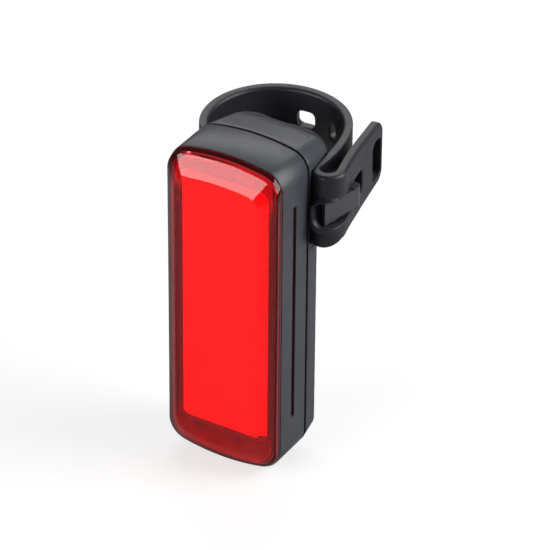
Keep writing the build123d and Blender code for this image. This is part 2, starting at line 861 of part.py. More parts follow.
# Hook: a root let into the block's right side, a slanting stem, and an arm that narrows to a nub
hook_root_x = channel_x - strap_clearance
hook_root_span = hook_root_back - hook_root_front
hook_root_y = joint_y + (hook_root_front + hook_root_back) / 2
hook_stem_x = hook_root_x - strap_clearance
hook_stem_left = point_on((hook_root_x, hook_stem_y), hook_thickness / 2, hook_stem_heading + 90)
hook_stem_right = point_on((hook_root_x, hook_stem_y), hook_thickness / 2, hook_stem_heading - 90)
hook_tip = point_on(hook_corner, hook_arm_length, hook_arm_heading)
hook_inner_tip = point_on(hook_tip, hook_thickness, hook_arm_heading + 90)
hook_outline = (
    crossing(hook_stem_right, hook_stem_heading, (hook_stem_x, 0), 90),
    crossing(hook_stem_right, hook_stem_heading, (hook_neck_x, 0), 90),
    hook_corner,
    hook_tip,
    hook_inner_tip,
    crossing(hook_inner_tip, hook_arm_heading, hook_stem_left, hook_stem_heading),
    crossing(hook_stem_left, hook_stem_heading, (hook_stem_x, 0), 90),
)
with BuildPart() as strap_hook:
    with BuildSketch(Plane.XY.offset(-strap_width / 2)):
        with BuildLine():
            Polyline(*hook_outline, close=True)
        make_face()
    extrude(amount=strap_width)
    # Heights of the arm, seen from the side
    with BuildSketch(Plane.YZ) as hook_side:
        with BuildLine():
            Polyline(
                (hook_corner[1] - fit_gap, hook_arm_low),
                (hook_inner_tip[1], hook_tip_low),
                (hook_inner_tip[1], hook_tip_high),
                (hook_corner[1] - fit_gap, hook_arm_high),
                close=True,
            )
        make_face()
        fillet(hook_side.vertices().group_by(Axis.X)[-1], hook_tip_corner)
        fillet(hook_side.vertices().group_by(Axis.X)[0].sort_by(Axis.Y)[-1], hook_bend_corner)
    extrude(amount=body_width, mode=Mode.INTERSECT)
    # Heights of the stem and the bend, seen from the front
    with BuildSketch(Plane.XZ):
        with BuildLine():
            Polyline(
                (0, hook_stem_low),
                (hook_neck_x, hook_stem_low),
                (hook_full_x, hook_arm_low),
                (body_width, hook_arm_low),
                (body_width, hook_arm_high),
                (hook_full_x, hook_arm_high),
                (hook_neck_x, hook_stem_high),
                (0, hook_stem_high),
                close=True,
            )
        make_face()
    extrude(amount=body_width, both=True, mode=Mode.INTERSECT)
    with BuildSketch(Plane.XY.offset(hook_nub_low)):
        with Locations(point_on(hook_tip, hook_nub_radius + fit_gap / 2, hook_arm_heading + 90)):
            Circle(hook_nub_radius)
    extrude(amount=hook_nub_high - hook_nub_low)
    with Locations((hook_root_x, hook_root_y, slot_height)):
        Box(
            hook_root_depth,
            hook_root_span,
            hook_root_height,
            align=(Align.MAX, Align.CENTER, Align.CENTER),
        )
strap_hook.part.label = "strap_hook"
export_step(strap_hook.part, "parts/strap_hook.step")

# Block on the rear cover's upper half: narrows towards the post
with BuildPart() as block_form:
    with BuildSketch(upright(cover_front)):
        add(body_outline())
    with BuildSketch(upright(block_back)):
        add(bowed_outline(block_half_width, block_half_height, block_arc_radius, block_corner))
    loft(ruled=True)
    with Locations((0, joint_y + (cover_front + block_back) / 2, body_middle + block_foot_height)):
        Box(
            2 * body_width,
            2 * (block_back - cover_front),
            body_height,
            align=(Align.CENTER, Align.CENTER, Align.MAX),
            mode=Mode.SUBTRACT,
        )

# Rear cover: shell, block, and everything that is let into them
flap_top_height = port_height + flap_height / 2
flap_foot_height = port_height - flap_height / 2
anchor_foot_height = flap_foot_height - flap_gap - anchor_height
recess_depth = flap_thickness + fit_gap / 2
with BuildPart() as rear_cover:
    with BuildSketch(upright(cover_front)):
        add(body_outline())
    with BuildSketch(upright(cover_back)):
        add(
            bowed_outline(
                body_width / 2 - cover_side_draft,
                body_height / 2 - cover_end_draft,
                end_arc_radius,
                cover_corner,
            )
        )
    loft(ruled=True)
    fillet(rear_cover.faces().sort_by(Axis.Y)[-1].edges(), cover_edge_radius)
    with Locations((0, joint_y + (cover_front + cover_back) / 2, body_middle + block_foot_height)):
        Box(
            2 * body_width,
            2 * cover_side_depth,
            body_height,
            align=(Align.CENTER, Align.CENTER, Align.MIN),
            mode=Mode.SUBTRACT,
        )
    add(block_form.part)
    # Hollow of the shell, and the core taken out of the block
    with BuildSketch(upright(cover_front)):
        add(body_outline(cover_wall))
    extrude(amount=cover_front - cover_inside, mode=Mode.SUBTRACT)
    with BuildSketch(upright(cover_inside, (core_foot_height + core_top_height) / 2)):
        Rectangle(2 * core_half_width, core_top_height - core_foot_height)
    extrude(amount=cover_inside - (block_back - core_back_wall), mode=Mode.SUBTRACT)
    # Bosses for the screws, and a thicker wall behind the charging port
    with BuildSketch(upright(cover_front)):
        with Locations(*all_screws):
            Circle(screw_boss_radius)
        add(body_outline(cover_wall / 2), mode=Mode.INTERSECT)
    extrude(amount=cover_front - cover_inside - fit_gap)
    with BuildSketch(upright(cover_inside - port_pad_thickness)):
        with Locations((0, port_height - port_pad_below)):
            Rectangle(
                2 * port_pad_half_width,
                port_pad_below + port_pad_above,
                align=(Align.CENTER, Align.MIN),
            )
    extrude(amount=-port_pad_thickness - fit_gap)
    # Screw holes with room for the heads
    with BuildSketch(upright(cover_front)):
        with Locations(*all_screws):
            Circle(screw_radius + fit_gap)
    extrude(amount=cover_front - block_back, mode=Mode.SUBTRACT)
    for screws, head_depth in screw_rows:
        with BuildSketch(upright(head_depth)):
            with Locations(*screws):
                Circle(screw_head_radius + screw_head_gap)
        extrude(amount=head_depth - block_back, mode=Mode.SUBTRACT)
    # Charging port, the recess for its cover, and the hole for the cover's peg
    with BuildSketch(upright(cover_back, port_height)):
        SlotOverall(port_length, port_width)
    extrude(amount=cover_back - (cover_inside - port_pad_thickness), mode=Mode.SUBTRACT)
    with BuildSketch(upright(cover_back, port_height)):
        RectangleRounded(flap_width + 2 * flap_clearance, flap_height + 2 * flap_clearance, flap_corner)
        with Locations((0, anchor_foot_height - port_height - fit_gap)):
            Rectangle(
                anchor_width + 2 * fit_gap,
                anchor_height + flap_height / 2,
                align=(Align.CENTER, Align.MIN),
            )
    extrude(amount=recess_depth, mode=Mode.SUBTRACT)
    with BuildSketch(upright(cover_back - recess_depth, anchor_foot_height + anchor_height / 2)):
        Circle(anchor_peg_radius + fit_gap / 4)
    extrude(amount=anchor_peg_length + fit_gap, mode=Mode.SUBTRACT)
    # Pocket for the strap's eye on the left, with the pin's hole, and the strap's channel on the right
    with Locations((pin_centre[0] + eye_radius + strap_clearance, joint_y + cover_inside, 0)):
        Box(
            body_width / 2,
            pin_centre[1] + eye_radius + pocket_gap - joint_y - cover_inside,
            2 * pocket_half_height,
            align=(Align.MAX, Align.MIN, Align.CENTER),
            mode=Mode.SUBTRACT,
        )
    with BuildSketch(Plane.XY.offset(body_middle + block_foot_height)):
        with Locations(pin_centre):
            Circle(pin_radius + pin_clearance)
    extrude(amount=pin_top_z - body_middle - block_foot_height, mode=Mode.SUBTRACT)
    add(strap_channel.part, mode=Mode.SUBTRACT)
    # Seat of the hook's root
    with Locations((hook_root_x, hook_root_y, slot_height)):
        Box(
            2 * hook_root_depth + fit_gap,
            hook_root_span + fit_gap,
            hook_root_height + fit_gap,
            mode=Mode.SUBTRACT,
        )
    # Holes for the saddle pad's pegs
    with BuildSketch(upright(block_back)):
        with Locations(*[(0, height) for height in peg_heights]):
            Circle(peg_radius + fit_gap / 2)
    extrude(amount=peg_length + fit_gap, mode=Mode.SUBTRACT)
rear_cover.part.label = "rear_cover"
export_step(rear_cover.part, "parts/rear_cover.step")

# Saddle pad: rubber, with a groove for the post between two crests
pad_middle_height = (block_half_height + block_foot_height) / 2
pad_half_width = block_half_width - pad_inset
pad_top_height = block_half_height - pad_inset
crest_outer_x = pad_groove_half_width + pad_crest_width
with BuildPart() as saddle_pad:
    with BuildSketch(upright(block_back + pad_lift)):
        add(bowed_outline(pad_half_width, pad_top_height, block_arc_radius, block_corner - pad_inset))
        with Locations((0, block_foot_height + pad_inset)):
            Rectangle(2 * body_width, body_height, align=(Align.CENTER, Align.MAX), mode=Mode.SUBTRACT)
    extrude(amount=pad_lift - pad_floor - pad_crest)
    with BuildSketch(Plane.XY.offset(body_middle)):
        with BuildLine():
            left_run = Line((-pad_half_width, -pad_shoulder_drop), (-crest_outer_x, pad_crest))
            left_crest = Line(left_run @ 1, (-pad_groove_half_width, pad_crest))
            groove = ThreePointArc(left_crest @ 1, (0, 0), (pad_groove_half_width, pad_crest))
            right_crest = Line(groove @ 1, (crest_outer_x, pad_crest))
            right_run = Line(right_crest @ 1, (pad_half_width, -pad_shoulder_drop))
            Polyline(
                right_run @ 1,
                (body_width, -pad_shoulder_drop),
                (body_width, 2 * pad_crest),
                (-body_width, 2 * pad_crest),
                (-body_width, -pad_shoulder_drop),
                left_run @ 0,
            )
        make_face()
    extrude(amount=body_height, mode=Mode.SUBTRACT)
    add(strap_channel.part, mode=Mode.SUBTRACT)
    # Thin core that keeps the pad just clear of the block all round, and the pegs
    with BuildSketch(upright(block_back)):
        with Locations((0, pad_middle_height)):
            Rectangle(
                2 * (block_half_width - pad_core_inset),
                block_half_height - block_foot_height - 2 * pad_core_inset,
            )
    extrude(amount=-pad_lift)
    with BuildSketch(upright(block_back)):
        with Locations(*[(0, height) for height in peg_heights]):
            Circle(peg_radius)
    extrude(amount=peg_length)
saddle_pad.part.label = "saddle_pad"
export_step(saddle_pad.part, "parts/saddle_pad.step")

# Cover of the charging port: a flap with a plug, and the anchor that its hinge line leaves fixed
with BuildPart() as port_cover:
    with BuildSketch(upright(cover_back - flap_thickness, port_height)):
        RectangleRounded(flap_width, flap_height, flap_corner)
    extrude(amount=-flap_thickness)
    with BuildSketch(upright(cover_back - flap_thickness, port_height)):
        SlotOverall(port_length - 2 * flap_plug_gap, port_width - 2 * flap_plug_gap)
    extrude(amount=flap_plug_depth)
    with BuildSketch(upright(cover_back, flap_top_height - flap_lip_height)):
        Rectangle(flap_lip_width, flap_lip_height)
    extrude(amount=-flap_lip_height / 2)
port_cover.part.label = "port_cover"
export_step(port_cover.part, "parts/port_cover.step")

with BuildPart() as cover_anchor:
    with BuildSketch(upright(cover_back - flap_thickness, anchor_foot_height)):
        Rectangle(anchor_width, anchor_height, align=(Align.CENTER, Align.MIN))
    extrude(amount=-flap_thickness)
    with BuildSketch(upright(cover_back - flap_thickness, anchor_foot_height + anchor_height / 2)):
        Circle(anchor_peg_radius)
    extrude(amount=anchor_peg_length)
cover_anchor.part.label = "cover_anchor"
export_step(cover_anchor.part, "parts/cover_anchor.step")

# Screws that hold rear cover and housing together
with BuildPart() as body_screws:
    for screws, head_depth in screw_rows:
        with BuildSketch(upright(head_depth)):
            with Locations(*screws):
                Circle(screw_head_radius)
        extrude(amount=-screw_head_height)
        with BuildSketch(upright(head_depth)):
            with Locations(*screws):
                Circle(screw_radius)
        extrude(amount=head_depth - housing_back + screw_bite - fit_gap)
        with BuildSketch(upright(head_depth + screw_head_height)):
            with Locations(*screws):
                RegularPolygon(screw_socket_radius, 6)
        extrude(amount=screw_socket_depth, mode=Mode.SUBTRACT)
body_screws.part.label = "body_screws"
export_step(body_screws.part, "parts/body_screws.step")
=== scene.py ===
from math import acos, asin, atan2, ceil, cos, degrees, pi, radians, sin, sqrt

import bpy
from mathutils import Matrix, Vector, geometry


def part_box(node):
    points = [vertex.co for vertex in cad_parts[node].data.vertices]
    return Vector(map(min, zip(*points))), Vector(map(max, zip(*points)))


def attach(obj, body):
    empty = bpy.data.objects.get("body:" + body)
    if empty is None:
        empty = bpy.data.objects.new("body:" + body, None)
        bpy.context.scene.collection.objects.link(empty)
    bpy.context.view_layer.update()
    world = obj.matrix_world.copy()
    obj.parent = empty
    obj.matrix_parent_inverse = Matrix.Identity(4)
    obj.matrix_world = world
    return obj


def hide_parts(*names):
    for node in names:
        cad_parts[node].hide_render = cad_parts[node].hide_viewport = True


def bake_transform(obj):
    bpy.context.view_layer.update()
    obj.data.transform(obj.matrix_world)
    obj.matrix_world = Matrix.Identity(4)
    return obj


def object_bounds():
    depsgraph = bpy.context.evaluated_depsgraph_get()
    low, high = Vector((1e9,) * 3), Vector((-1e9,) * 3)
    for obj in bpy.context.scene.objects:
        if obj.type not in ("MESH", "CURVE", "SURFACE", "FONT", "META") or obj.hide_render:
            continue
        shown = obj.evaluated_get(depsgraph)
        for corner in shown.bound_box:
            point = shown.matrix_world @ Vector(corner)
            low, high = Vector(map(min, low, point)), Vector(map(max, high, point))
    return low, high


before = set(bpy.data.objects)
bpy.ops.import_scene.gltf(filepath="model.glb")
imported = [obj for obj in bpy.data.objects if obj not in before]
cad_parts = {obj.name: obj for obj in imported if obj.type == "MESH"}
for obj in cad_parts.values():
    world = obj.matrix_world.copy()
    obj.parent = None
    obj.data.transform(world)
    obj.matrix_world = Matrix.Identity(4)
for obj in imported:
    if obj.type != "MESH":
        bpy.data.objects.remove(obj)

# Bicycle tail light: looks, light and camera. Sizes are millimetres, in the frame's axes: the light shines
# towards -Y, the strap is hooked on the +X side, and +Z is up. A depth is a distance behind the joint of
# lens and housing, and a height is a distance above the middle of the body.

MM = 0.001
cad_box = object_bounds()


def node_box(name):
    """Lowest and highest corner of a CAD node, in millimetres."""
    low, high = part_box(name)
    return Vector(low) / MM, Vector(high) / MM


housing_low, housing_high = node_box("front_housing")
lens_front = node_box("lens_cover")[0].y
button_low, button_high = node_box("power_button")
pad_high = node_box("saddle_pad")[1]
flap_low, flap_high = node_box("port_cover")
anchor_low, anchor_high = node_box("cover_anchor")
foam_low, foam_high = node_box("battery_foam")
bezel_low, bezel_high = node_box("bezel_frame")

# Body, as the frame has it
body_width = housing_high.x - housing_low.x
body_height = housing_high.z - housing_low.z
body_middle = (housing_high.z + housing_low.z) / 2
end_arc_radius = 47.7
corner_radius = 5.0
wall = 1.6

# Lens
lens_depth = 4.0
lens_rim_depth = 1.6
lens_rim_drop = 0.85
lens_side_bevel = 3.4
lens_end_bevel = 5.75
lens_face_arc_radius = 70.0
lens_face_corner = 3.8
lens_face_margin = 1.5
lens_spigot = 0.9
lens_foot_wall = 2.3
lens_inner_depth = 0.7
fit_gap = 0.1
joint_y = lens_front + lens_depth
crease_radius = 0.45
lens_joint_edge = 0.12

# Strap, seen in plan
strap_width = 18.2
strap_thickness = 2.1
strap_soft_edge = 0.8
strap_crisp_edge = 0.16
opening_soft_edge = 0.3
loop_radius = 15.8
loop_centre = (-3.5, 3.9)
side_radius = 34.0
root_radius = 3.5
root_join_angle = 212.0
pin_centre = (-11.4, -6.6)
pin_radius = 1.05
eye_radius = 2.3
eye_edge = 0.3
fold_radius = 3.0
fold_centre = (16.1, -6.75)
fold_front_angle = 270.0
tab_start_heading = 105.2
tab_end_heading = 98.2
tab_bend_length = 13.7
tab_tip_y = 17.7
tab_tip_low = -5.9
tab_low = -7.5
tab_knee_y = -7.0
tab_taper_y = 3.0
tab_knee_radius = 0.8
tab_taper_radius = 12.0
tab_corner = 3.0
tab_rise_steps = 12
strap_grid = (0.8, 1.3)

# Openings in the strap, and the collar round its slot
slot_low = -3.4
slot_high = 3.1
slot_front_x = 15.5
slot_front_corner = 2.2
slot_back_y = 5.6
slot_back_corners = (2.0, 1.2)
stem_hole_front_y = -7.7
stem_hole_back_y = -3.2
tip_hole_front_y = 11.6
tip_hole_back_y = 16.6
tip_hole_low = -4.3
tip_hole_high = 5.5
tip_hole_corners = (1.3, 2.0)
opening_corner = 1.3
loop_holes = ((94.0, 4.7), (63.0, 2.6), (31.5, 3.4))
loop_hole_height = 4.0
loop_hole_middle = 1.8
collar_offset = 1.2
collar_thickness = 1.45
collar_peak_angle = 255.0
collar_low = -4.55
collar_high = 3.55
collar_start_x = 14.15
collar_corner = 3.1
collar_slope = 0.3
collar_foot_share = 0.3
collar_past_fold = 1.0
front_end_steps = 8

# Saddle pad on the block
pad_half_width = 12.4
pad_half_height = 36.5
pad_arc_radius = 90.0
pad_corner = 4.2
pad_foot_height = 14.0
pad_foot_corner = 1.2
pad_crest = pad_high.y
pad_crest_width = 1.6
pad_groove_half_width = 5.0
pad_shoulder_drop = 0.6
pad_body_depth = 1.9
pad_core_width = 22.8
pad_core_height = 20.5
pad_core_middle = 25.25
pad_core_corner = 3.0
pad_lift = 0.3
pad_soft_edge = 0.35
pad_crisp_edge = 0.1
pad_grid = (0.8, 1.6)

# Parts of one moulding reach this far into each other, and a hidden edge is rounded this much
overlap = 0.1
crisp_edge = 0.1
hidden_edge = 0.05

# Port cover with its anchor and web
flap_width = 12.4
flap_height = 8.0
flap_corner = 1.6
flap_thickness = 1.2
flap_back = anchor_high.y
flap_soft_edge = 0.3
plug_width = 8.6
plug_height = 2.9
plug_depth = 0.8
plug_edge = 0.25
lip_width = 4.0
lip_height = 0.9
lip_corner = 0.25
lip_edge = 0.2
anchor_width = 8.0
anchor_corner = 0.8
anchor_peg_width = 1.8
anchor_peg_length = 1.4
anchor_peg_edge = 0.2
web_width = 7.2
web_thickness = 0.3
web_overlap = 0.7
web_corner = 0.2
web_grid = (0.6, 0.12)
fine_grid = (0.5, 0.5)

# Push button and foam
button_length = 8.7
button_width = 4.3
button_flange_length = 10.6
button_flange_width = 6.2
button_flange_thickness = 0.7
button_soft_edge = 0.4
button_grid = (0.8, 0.8)
foam_corner = 1.5
foam_edge = 0.2

# Steps of the bowed outlines: along a side, round a corner and along half an end
side_steps = 16
bow_corner_steps = 12
end_steps = 24

# Steps of the plates: along outlines, round openings, across rounded edges, and from an edge to the grid
outline_step = 0.4
opening_step = 0.25
edge_steps = 4
grid_margin = 0.45

# Camera: where it stands and what it aims at, worked out from the edges of the body in the photograph
camera_azimuth = radians(30.886)
camera_elevation = radians(33.122)
camera_roll = radians(0.523)
camera_distance = 823.0
camera_lens = 247.15
aim_point = Vector((0.0, joint_y, body_middle))
aim_right = 10.66
aim_up = 7.44


def add_camera():
    """Camera at the photograph's angle."""
    right = Vector((cos(camera_azimuth), sin(camera_azimuth), 0))
    back = Vector((
        sin(camera_azimuth) * cos(camera_elevation),
        -cos(camera_azimuth) * cos(camera_elevation),
        sin(camera_elevation),
    ))
    turned_right = Matrix.Rotation(camera_roll, 3, back) @ right
    turned_up = back.cross(turned_right)
    place = aim_point + aim_right * turned_right + aim_up * turned_up + camera_distance * back
    data = bpy.data.cameras.new("camera")
    data.lens = camera_lens
    data.sensor_width = 36.0
    data.clip_start = 0.05
    data.clip_end = 20.0
    camera = bpy.data.objects.new("camera", data)
    matrix = Matrix((turned_right, turned_up, back)).transposed().to_4x4()
    matrix.translation = place * MM
    camera.matrix_world = matrix
    bpy.context.collection.objects.link(camera)
    bpy.context.scene.camera = camera


# Light: softboxes by direction from the object, width, height and strength, which is their radiance

lamp_distance = 420.0
softboxes = {
    "key": ((-0.43, -0.86, 0.29), 420, 170, 7.5),
    "top": ((-0.43, 0.72, 0.65), 360, 260, 2.2),
    "side": ((0.8, 0.4, 0.5), 260, 360, 6.0),
}
background = 1.0
ambient = 0.16
glass_share = 0.25
floor_reach = 3.0
floor_grey = 0.42
floor_glow = 0.62


def add_softbox(name, direction, width, height, strength):
    """Area light that stands in a direction from the object's middle and faces it."""
    data = bpy.data.lights.new(name, "AREA")
    data.shape = "RECTANGLE"
    data.size = width * MM
    data.size_y = height * MM
    data.energy = strength * width * height * MM * MM * pi
    lamp = bpy.data.objects.new(name, data)
    towards = Vector(direction).normalized()
    lamp.location = (aim_point + lamp_distance * towards) * MM
    lamp.rotation_euler = towards.to_track_quat("Z", "Y").to_euler()
    bpy.context.collection.objects.link(lamp)


def seen_share(nodes, links):
    """1 for camera rays, a share for rays that come out of glass, 0 for the others."""
    path = nodes.new("ShaderNodeLightPath")
    dimmed = nodes.new("ShaderNodeMath")
    dimmed.operation = "MULTIPLY"
    dimmed.inputs[1].default_value = glass_share
    either = nodes.new("ShaderNodeMath")
    either.operation = "MAXIMUM"
    links.new(path.outputs["Is Transmission Ray"], dimmed.inputs[0])
    links.new(path.outputs["Is Camera Ray"], either.inputs[0])
    links.new(dimmed.outputs[0], either.inputs[1])
    return either.outputs[0]


def add_world():
    """World that cameras and glass see as the background, and that lights the object evenly."""
    world = bpy.data.worlds.new("world")
    bpy.context.scene.world = world
    world.use_nodes = True
    nodes = world.node_tree.nodes
    links = world.node_tree.links
    nodes.clear()
    lit = nodes.new("ShaderNodeBackground")
    lit.inputs["Strength"].default_value = ambient
    shown = nodes.new("ShaderNodeBackground")
    shown.inputs["Strength"].default_value = background
    mix = nodes.new("ShaderNodeMixShader")
    links.new(seen_share(nodes, links), mix.inputs["Fac"])
    links.new(lit.outputs[0], mix.inputs[1])
    links.new(shown.outputs[0], mix.inputs[2])
    out = nodes.new("ShaderNodeOutputWorld")
    links.new(mix.outputs[0], out.inputs["Surface"])


# Materials

class Finish:
    """Principled material with a fine grain; colour, roughness and relief vary over the surface."""

    def __init__(self, name, colour, roughness, metallic=0.0):
        self.material = bpy.data.materials.new(name)
        self.material.use_nodes = True
        self.nodes = self.material.node_tree.nodes
        self.links = self.material.node_tree.links
        self.shader = self.nodes["Principled BSDF"]
        self.shader.inputs["Base Color"].default_value = (*colour, 1)
        self.shader.inputs["Roughness"].default_value = roughness
        self.shader.inputs["Metallic"].default_value = metallic
        self.colour = colour
        self.roughness = roughness
        self.place = self.nodes.new("ShaderNodeTexCoord").outputs["Object"]
        self.relief = None

    def set(self, **sockets):
        """Sets sockets of the shader, named with _ in place of a space."""
        for name, value in sockets.items():
            self.shader.inputs[name.replace("_", " ")].default_value = value
        return self

    def noise(self, size, detail=3.0):
        """Noise whose features are about so many millimetres across."""
        mapping = self.nodes.new("ShaderNodeMapping")
        mapping.inputs["Scale"].default_value = [1 / (size * MM)] * 3
        texture = self.nodes.new("ShaderNodeTexNoise")
        texture.inputs["Scale"].default_value = 1.0
        texture.inputs["Detail"].default_value = detail
        self.links.new(self.place, mapping.inputs["Vector"])
        self.links.new(mapping.outputs[0], texture.inputs["Vector"])
        return texture.outputs["Fac"]

    def mottle(self, size, amount):
        """Colour that drifts between a darker and a lighter tone."""
        ramp = self.nodes.new("ShaderNodeValToRGB")
        ramp.color_ramp.elements[0].position = 0.3
        ramp.color_ramp.elements[1].position = 0.7
        ramp.color_ramp.elements[0].color = (*[c * (1 - amount) for c in self.colour], 1)
        ramp.color_ramp.elements[1].color = (*[c * (1 + amount) for c in self.colour], 1)
        self.links.new(self.noise(size), ramp.inputs["Fac"])
        self.links.new(ramp.outputs["Color"], self.shader.inputs["Base Color"])
        return self

    def uneven(self, size, amount):
        """Roughness that drifts round its set value."""
        span = self.nodes.new("ShaderNodeMapRange")
        span.inputs["To Min"].default_value = self.roughness - amount
        span.inputs["To Max"].default_value = self.roughness + amount
        self.links.new(self.noise(size), span.inputs["Value"])
        self.links.new(span.outputs["Result"], self.shader.inputs["Roughness"])
        return self

    def grain(self, size, height, detail=3.0):
        """Moulded relief of so many millimetres."""
        bump = self.nodes.new("ShaderNodeBump")
        bump.inputs["Distance"].default_value = height * MM
        self.links.new(self.noise(size, detail), bump.inputs["Height"])
        if self.relief is not None:
            self.links.new(self.relief, bump.inputs["Normal"])
        self.relief = bump.outputs["Normal"]
        self.links.new(self.relief, self.shader.inputs["Normal"])
        return self


def plastic(name, colour, roughness, grain=0.012):
    """Moulded plastic with a fine spark-eroded grain."""
    return Finish(name, colour, roughness).mottle(6, 0.08).uneven(2.5, 0.05).grain(0.22, grain).material


def rubber(name, colour, roughness):
    """Matt rubber, a little uneven."""
    finish = Finish(name, colour, roughness).mottle(4, 0.12).uneven(3, 0.06).grain(0.3, 0.01)
    return finish.grain(2.5, 0.03).material


def metal(name, colour, roughness):
    """Metal with faint wear."""
    finish = Finish(name, colour, roughness, 1.0).mottle(1.5, 0.06).uneven(0.8, 0.06)
    return finish.grain(0.15, 0.003).material


def clear_red_painted_glow():
    """Clear red lens with a faint painted red glow, which stands in for the panel's light carried through the
    moulding.
    """
    finish = Finish("clear_red_painted_glow", (0.93, 0.05, 0.06), 0.03)
    finish.set(IOR=1.42, Transmission_Weight=1.0)
    # Painted glow: this faint red emission stands in for the panel's light inside the lens, which is no lamp.
    finish.set(Emission_Color=(1.0, 0.03, 0.05, 1), Emission_Strength=0.018)
    return finish.mottle(9, 0.02).grain(8, 0.01, 1.0).material


# How far the patches of the painted glow move it along the frame's height, as a share of that height
painted_glow_wander = 0.09


def painted_glow_frame(name, colour, low, high, stops):
    """Dark frame with a painted red glow: an emission stands in for the panel's light falling on it, and its
    colour goes with the height from low to high.
    """
    finish = Finish(name, colour, 0.5)
    # Painted light: this emission stands in for the red light that the panel casts on the frame, which is no
    # lamp.
    finish.set(Emission_Strength=1.0)
    nodes, links = finish.nodes, finish.links
    axes = nodes.new("ShaderNodeSeparateXYZ")
    links.new(finish.place, axes.inputs[0])
    height = nodes.new("ShaderNodeMapRange")
    height.inputs["From Min"].default_value = low * MM
    height.inputs["From Max"].default_value = high * MM
    links.new(axes.outputs["Z"], height.inputs["Value"])
    patches = nodes.new("ShaderNodeMapRange")
    patches.inputs["To Min"].default_value = -painted_glow_wander
    patches.inputs["To Max"].default_value = painted_glow_wander
    links.new(finish.noise(2.2, 2.0), patches.inputs["Value"])
    shifted = nodes.new("ShaderNodeMath")
    shifted.operation = "ADD"
    links.new(height.outputs["Result"], shifted.inputs[0])
    links.new(patches.outputs["Result"], shifted.inputs[1])
    ramp = nodes.new("ShaderNodeValToRGB")
    elements = ramp.color_ramp.elements
    while len(elements) < len(stops):
        elements.new(0.5)
    for element, (place, glow) in zip(elements, stops):
        element.position = place
        element.color = (*glow, 1)
    links.new(shifted.outputs[0], ramp.inputs["Fac"])
    links.new(ramp.outputs["Color"], finish.shader.inputs["Emission Color"])
    return finish.mottle(2, 0.3).grain(0.4, 0.02).material


def glowing_red():
    """Milky panel lit from behind, a little dimmer in soft patches."""
    finish = Finish("glowing_red", (0.55, 0.01, 0.012), 0.5)
    finish.set(Emission_Strength=0.95, Specular_IOR_Level=0.1)
    ramp = finish.nodes.new("ShaderNodeValToRGB")
    ramp.color_ramp.elements[0].position = 0.35
    ramp.color_ramp.elements[1].position = 0.6
    ramp.color_ramp.elements[0].color = (0.92, 0.0, 0.001, 1)
    ramp.color_ramp.elements[1].color = (1.0, 0.0, 0.002, 1)
    finish.links.new(finish.noise(5), ramp.inputs["Fac"])
    finish.links.new(ramp.outputs["Color"], finish.shader.inputs["Emission Color"])
    return finish.grain(0.6, 0.01).material


housing_plastic = plastic("housing_plastic", (0.046, 0.050, 0.062), 0.42)
hook_plastic = plastic("hook_plastic", (0.050, 0.052, 0.062), 0.30, 0.006)

# Painted glow of the frame and of the board behind it, standing in for the panel's red light on them: share of
# the height, and colour
bezel_painted_glow_stops = (
    (0.0, (0.30, 0.004, 0.008)),
    (0.07, (0.15, 0.003, 0.005)),
    (0.13, (0.035, 0.002, 0.003)),
    (0.86, (0.035, 0.002, 0.003)),
    (0.93, (0.45, 0.006, 0.008)),
    (1.0, (0.62, 0.012, 0.016)),
)
board_painted_glow_stops = ((0.0, (0.34, 0.003, 0.006)), (0.5, (0.22, 0.003, 0.005)), (1.0, (0.5, 0.004, 0.008)))
bezel_dark = painted_glow_frame("bezel_dark", (0.030, 0.006, 0.007), bezel_low.z, bezel_high.z, bezel_painted_glow_stops)
board_painted_glow = painted_glow_frame("board_painted_glow", (0.012, 0.012, 0.011), bezel_low.z, bezel_high.z, board_painted_glow_stops)
window_red = Finish("window_red", (0.16, 0.004, 0.006), 0.25).set(Coat_Weight=0.3)
window_red = window_red.mottle(3, 0.3).grain(0.5, 0.01).material
strap_rubber = rubber("strap_rubber", (0.009, 0.010, 0.015), 0.45)
pad_rubber = rubber("pad_rubber", (0.009, 0.010, 0.014), 0.68)
flap_rubber = rubber("flap_rubber", (0.018, 0.018, 0.021), 0.6)
button_rubber = rubber("button_rubber", (0.020, 0.020, 0.024), 0.55)
seal_rubber = rubber("seal_rubber", (0.004, 0.004, 0.005), 0.7)
bright_steel = metal("bright_steel", (0.58, 0.57, 0.55), 0.28)
dark_steel = metal("dark_steel", (0.12, 0.12, 0.125), 0.38)
board_black = plastic("board_black", (0.010, 0.012, 0.011), 0.35, 0.004)
chip_amber = Finish("chip_amber", (0.75, 0.42, 0.05), 0.35).mottle(0.5, 0.2).grain(0.3, 0.01).material
chip_black = plastic("chip_black", (0.02, 0.02, 0.022), 0.4, 0.004)
connector_plastic = plastic("connector_plastic", (0.03, 0.03, 0.033), 0.45, 0.004)
plunger_plastic = plastic("plunger_plastic", (0.55, 0.53, 0.48), 0.45, 0.004)
battery_foil = metal("battery_foil", (0.62, 0.63, 0.65), 0.32)
foam_grey = Finish("foam_grey", (0.10, 0.10, 0.11), 0.9).mottle(0.8, 0.3).grain(0.35, 0.08).material
lead_sleeve = Finish("lead_sleeve", (0.42, 0.015, 0.012), 0.4).mottle(2, 0.1).grain(0.4, 0.004).material
plug_white = plastic("plug_white", (0.72, 0.71, 0.66), 0.45, 0.004)
tray_black = plastic("tray_black", (0.03, 0.03, 0.034), 0.5, 0.008)
lens_red = clear_red_painted_glow()
panel_red = glowing_red()


# Meshes

def new_piece(name, vertices, faces, material, body, slot, replaced, crease=35.0):
    """Piece made from millimetre points, smooth but for edges sharper than the crease angle.

    A piece without a body is attached to none.
    """
    mesh = bpy.data.meshes.new(name)
    mesh.from_pydata([Vector(v) * MM for v in vertices], [], faces)
    mesh.validate()
    mesh.materials.append(material)
    mesh.shade_smooth()
    mesh.set_sharp_from_angle(angle=radians(crease))
    piece = bpy.data.objects.new(name, mesh)
    bpy.context.collection.objects.link(piece)
    if body:
        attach(piece, body)
    if replaced:
        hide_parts(*replaced)
    return piece


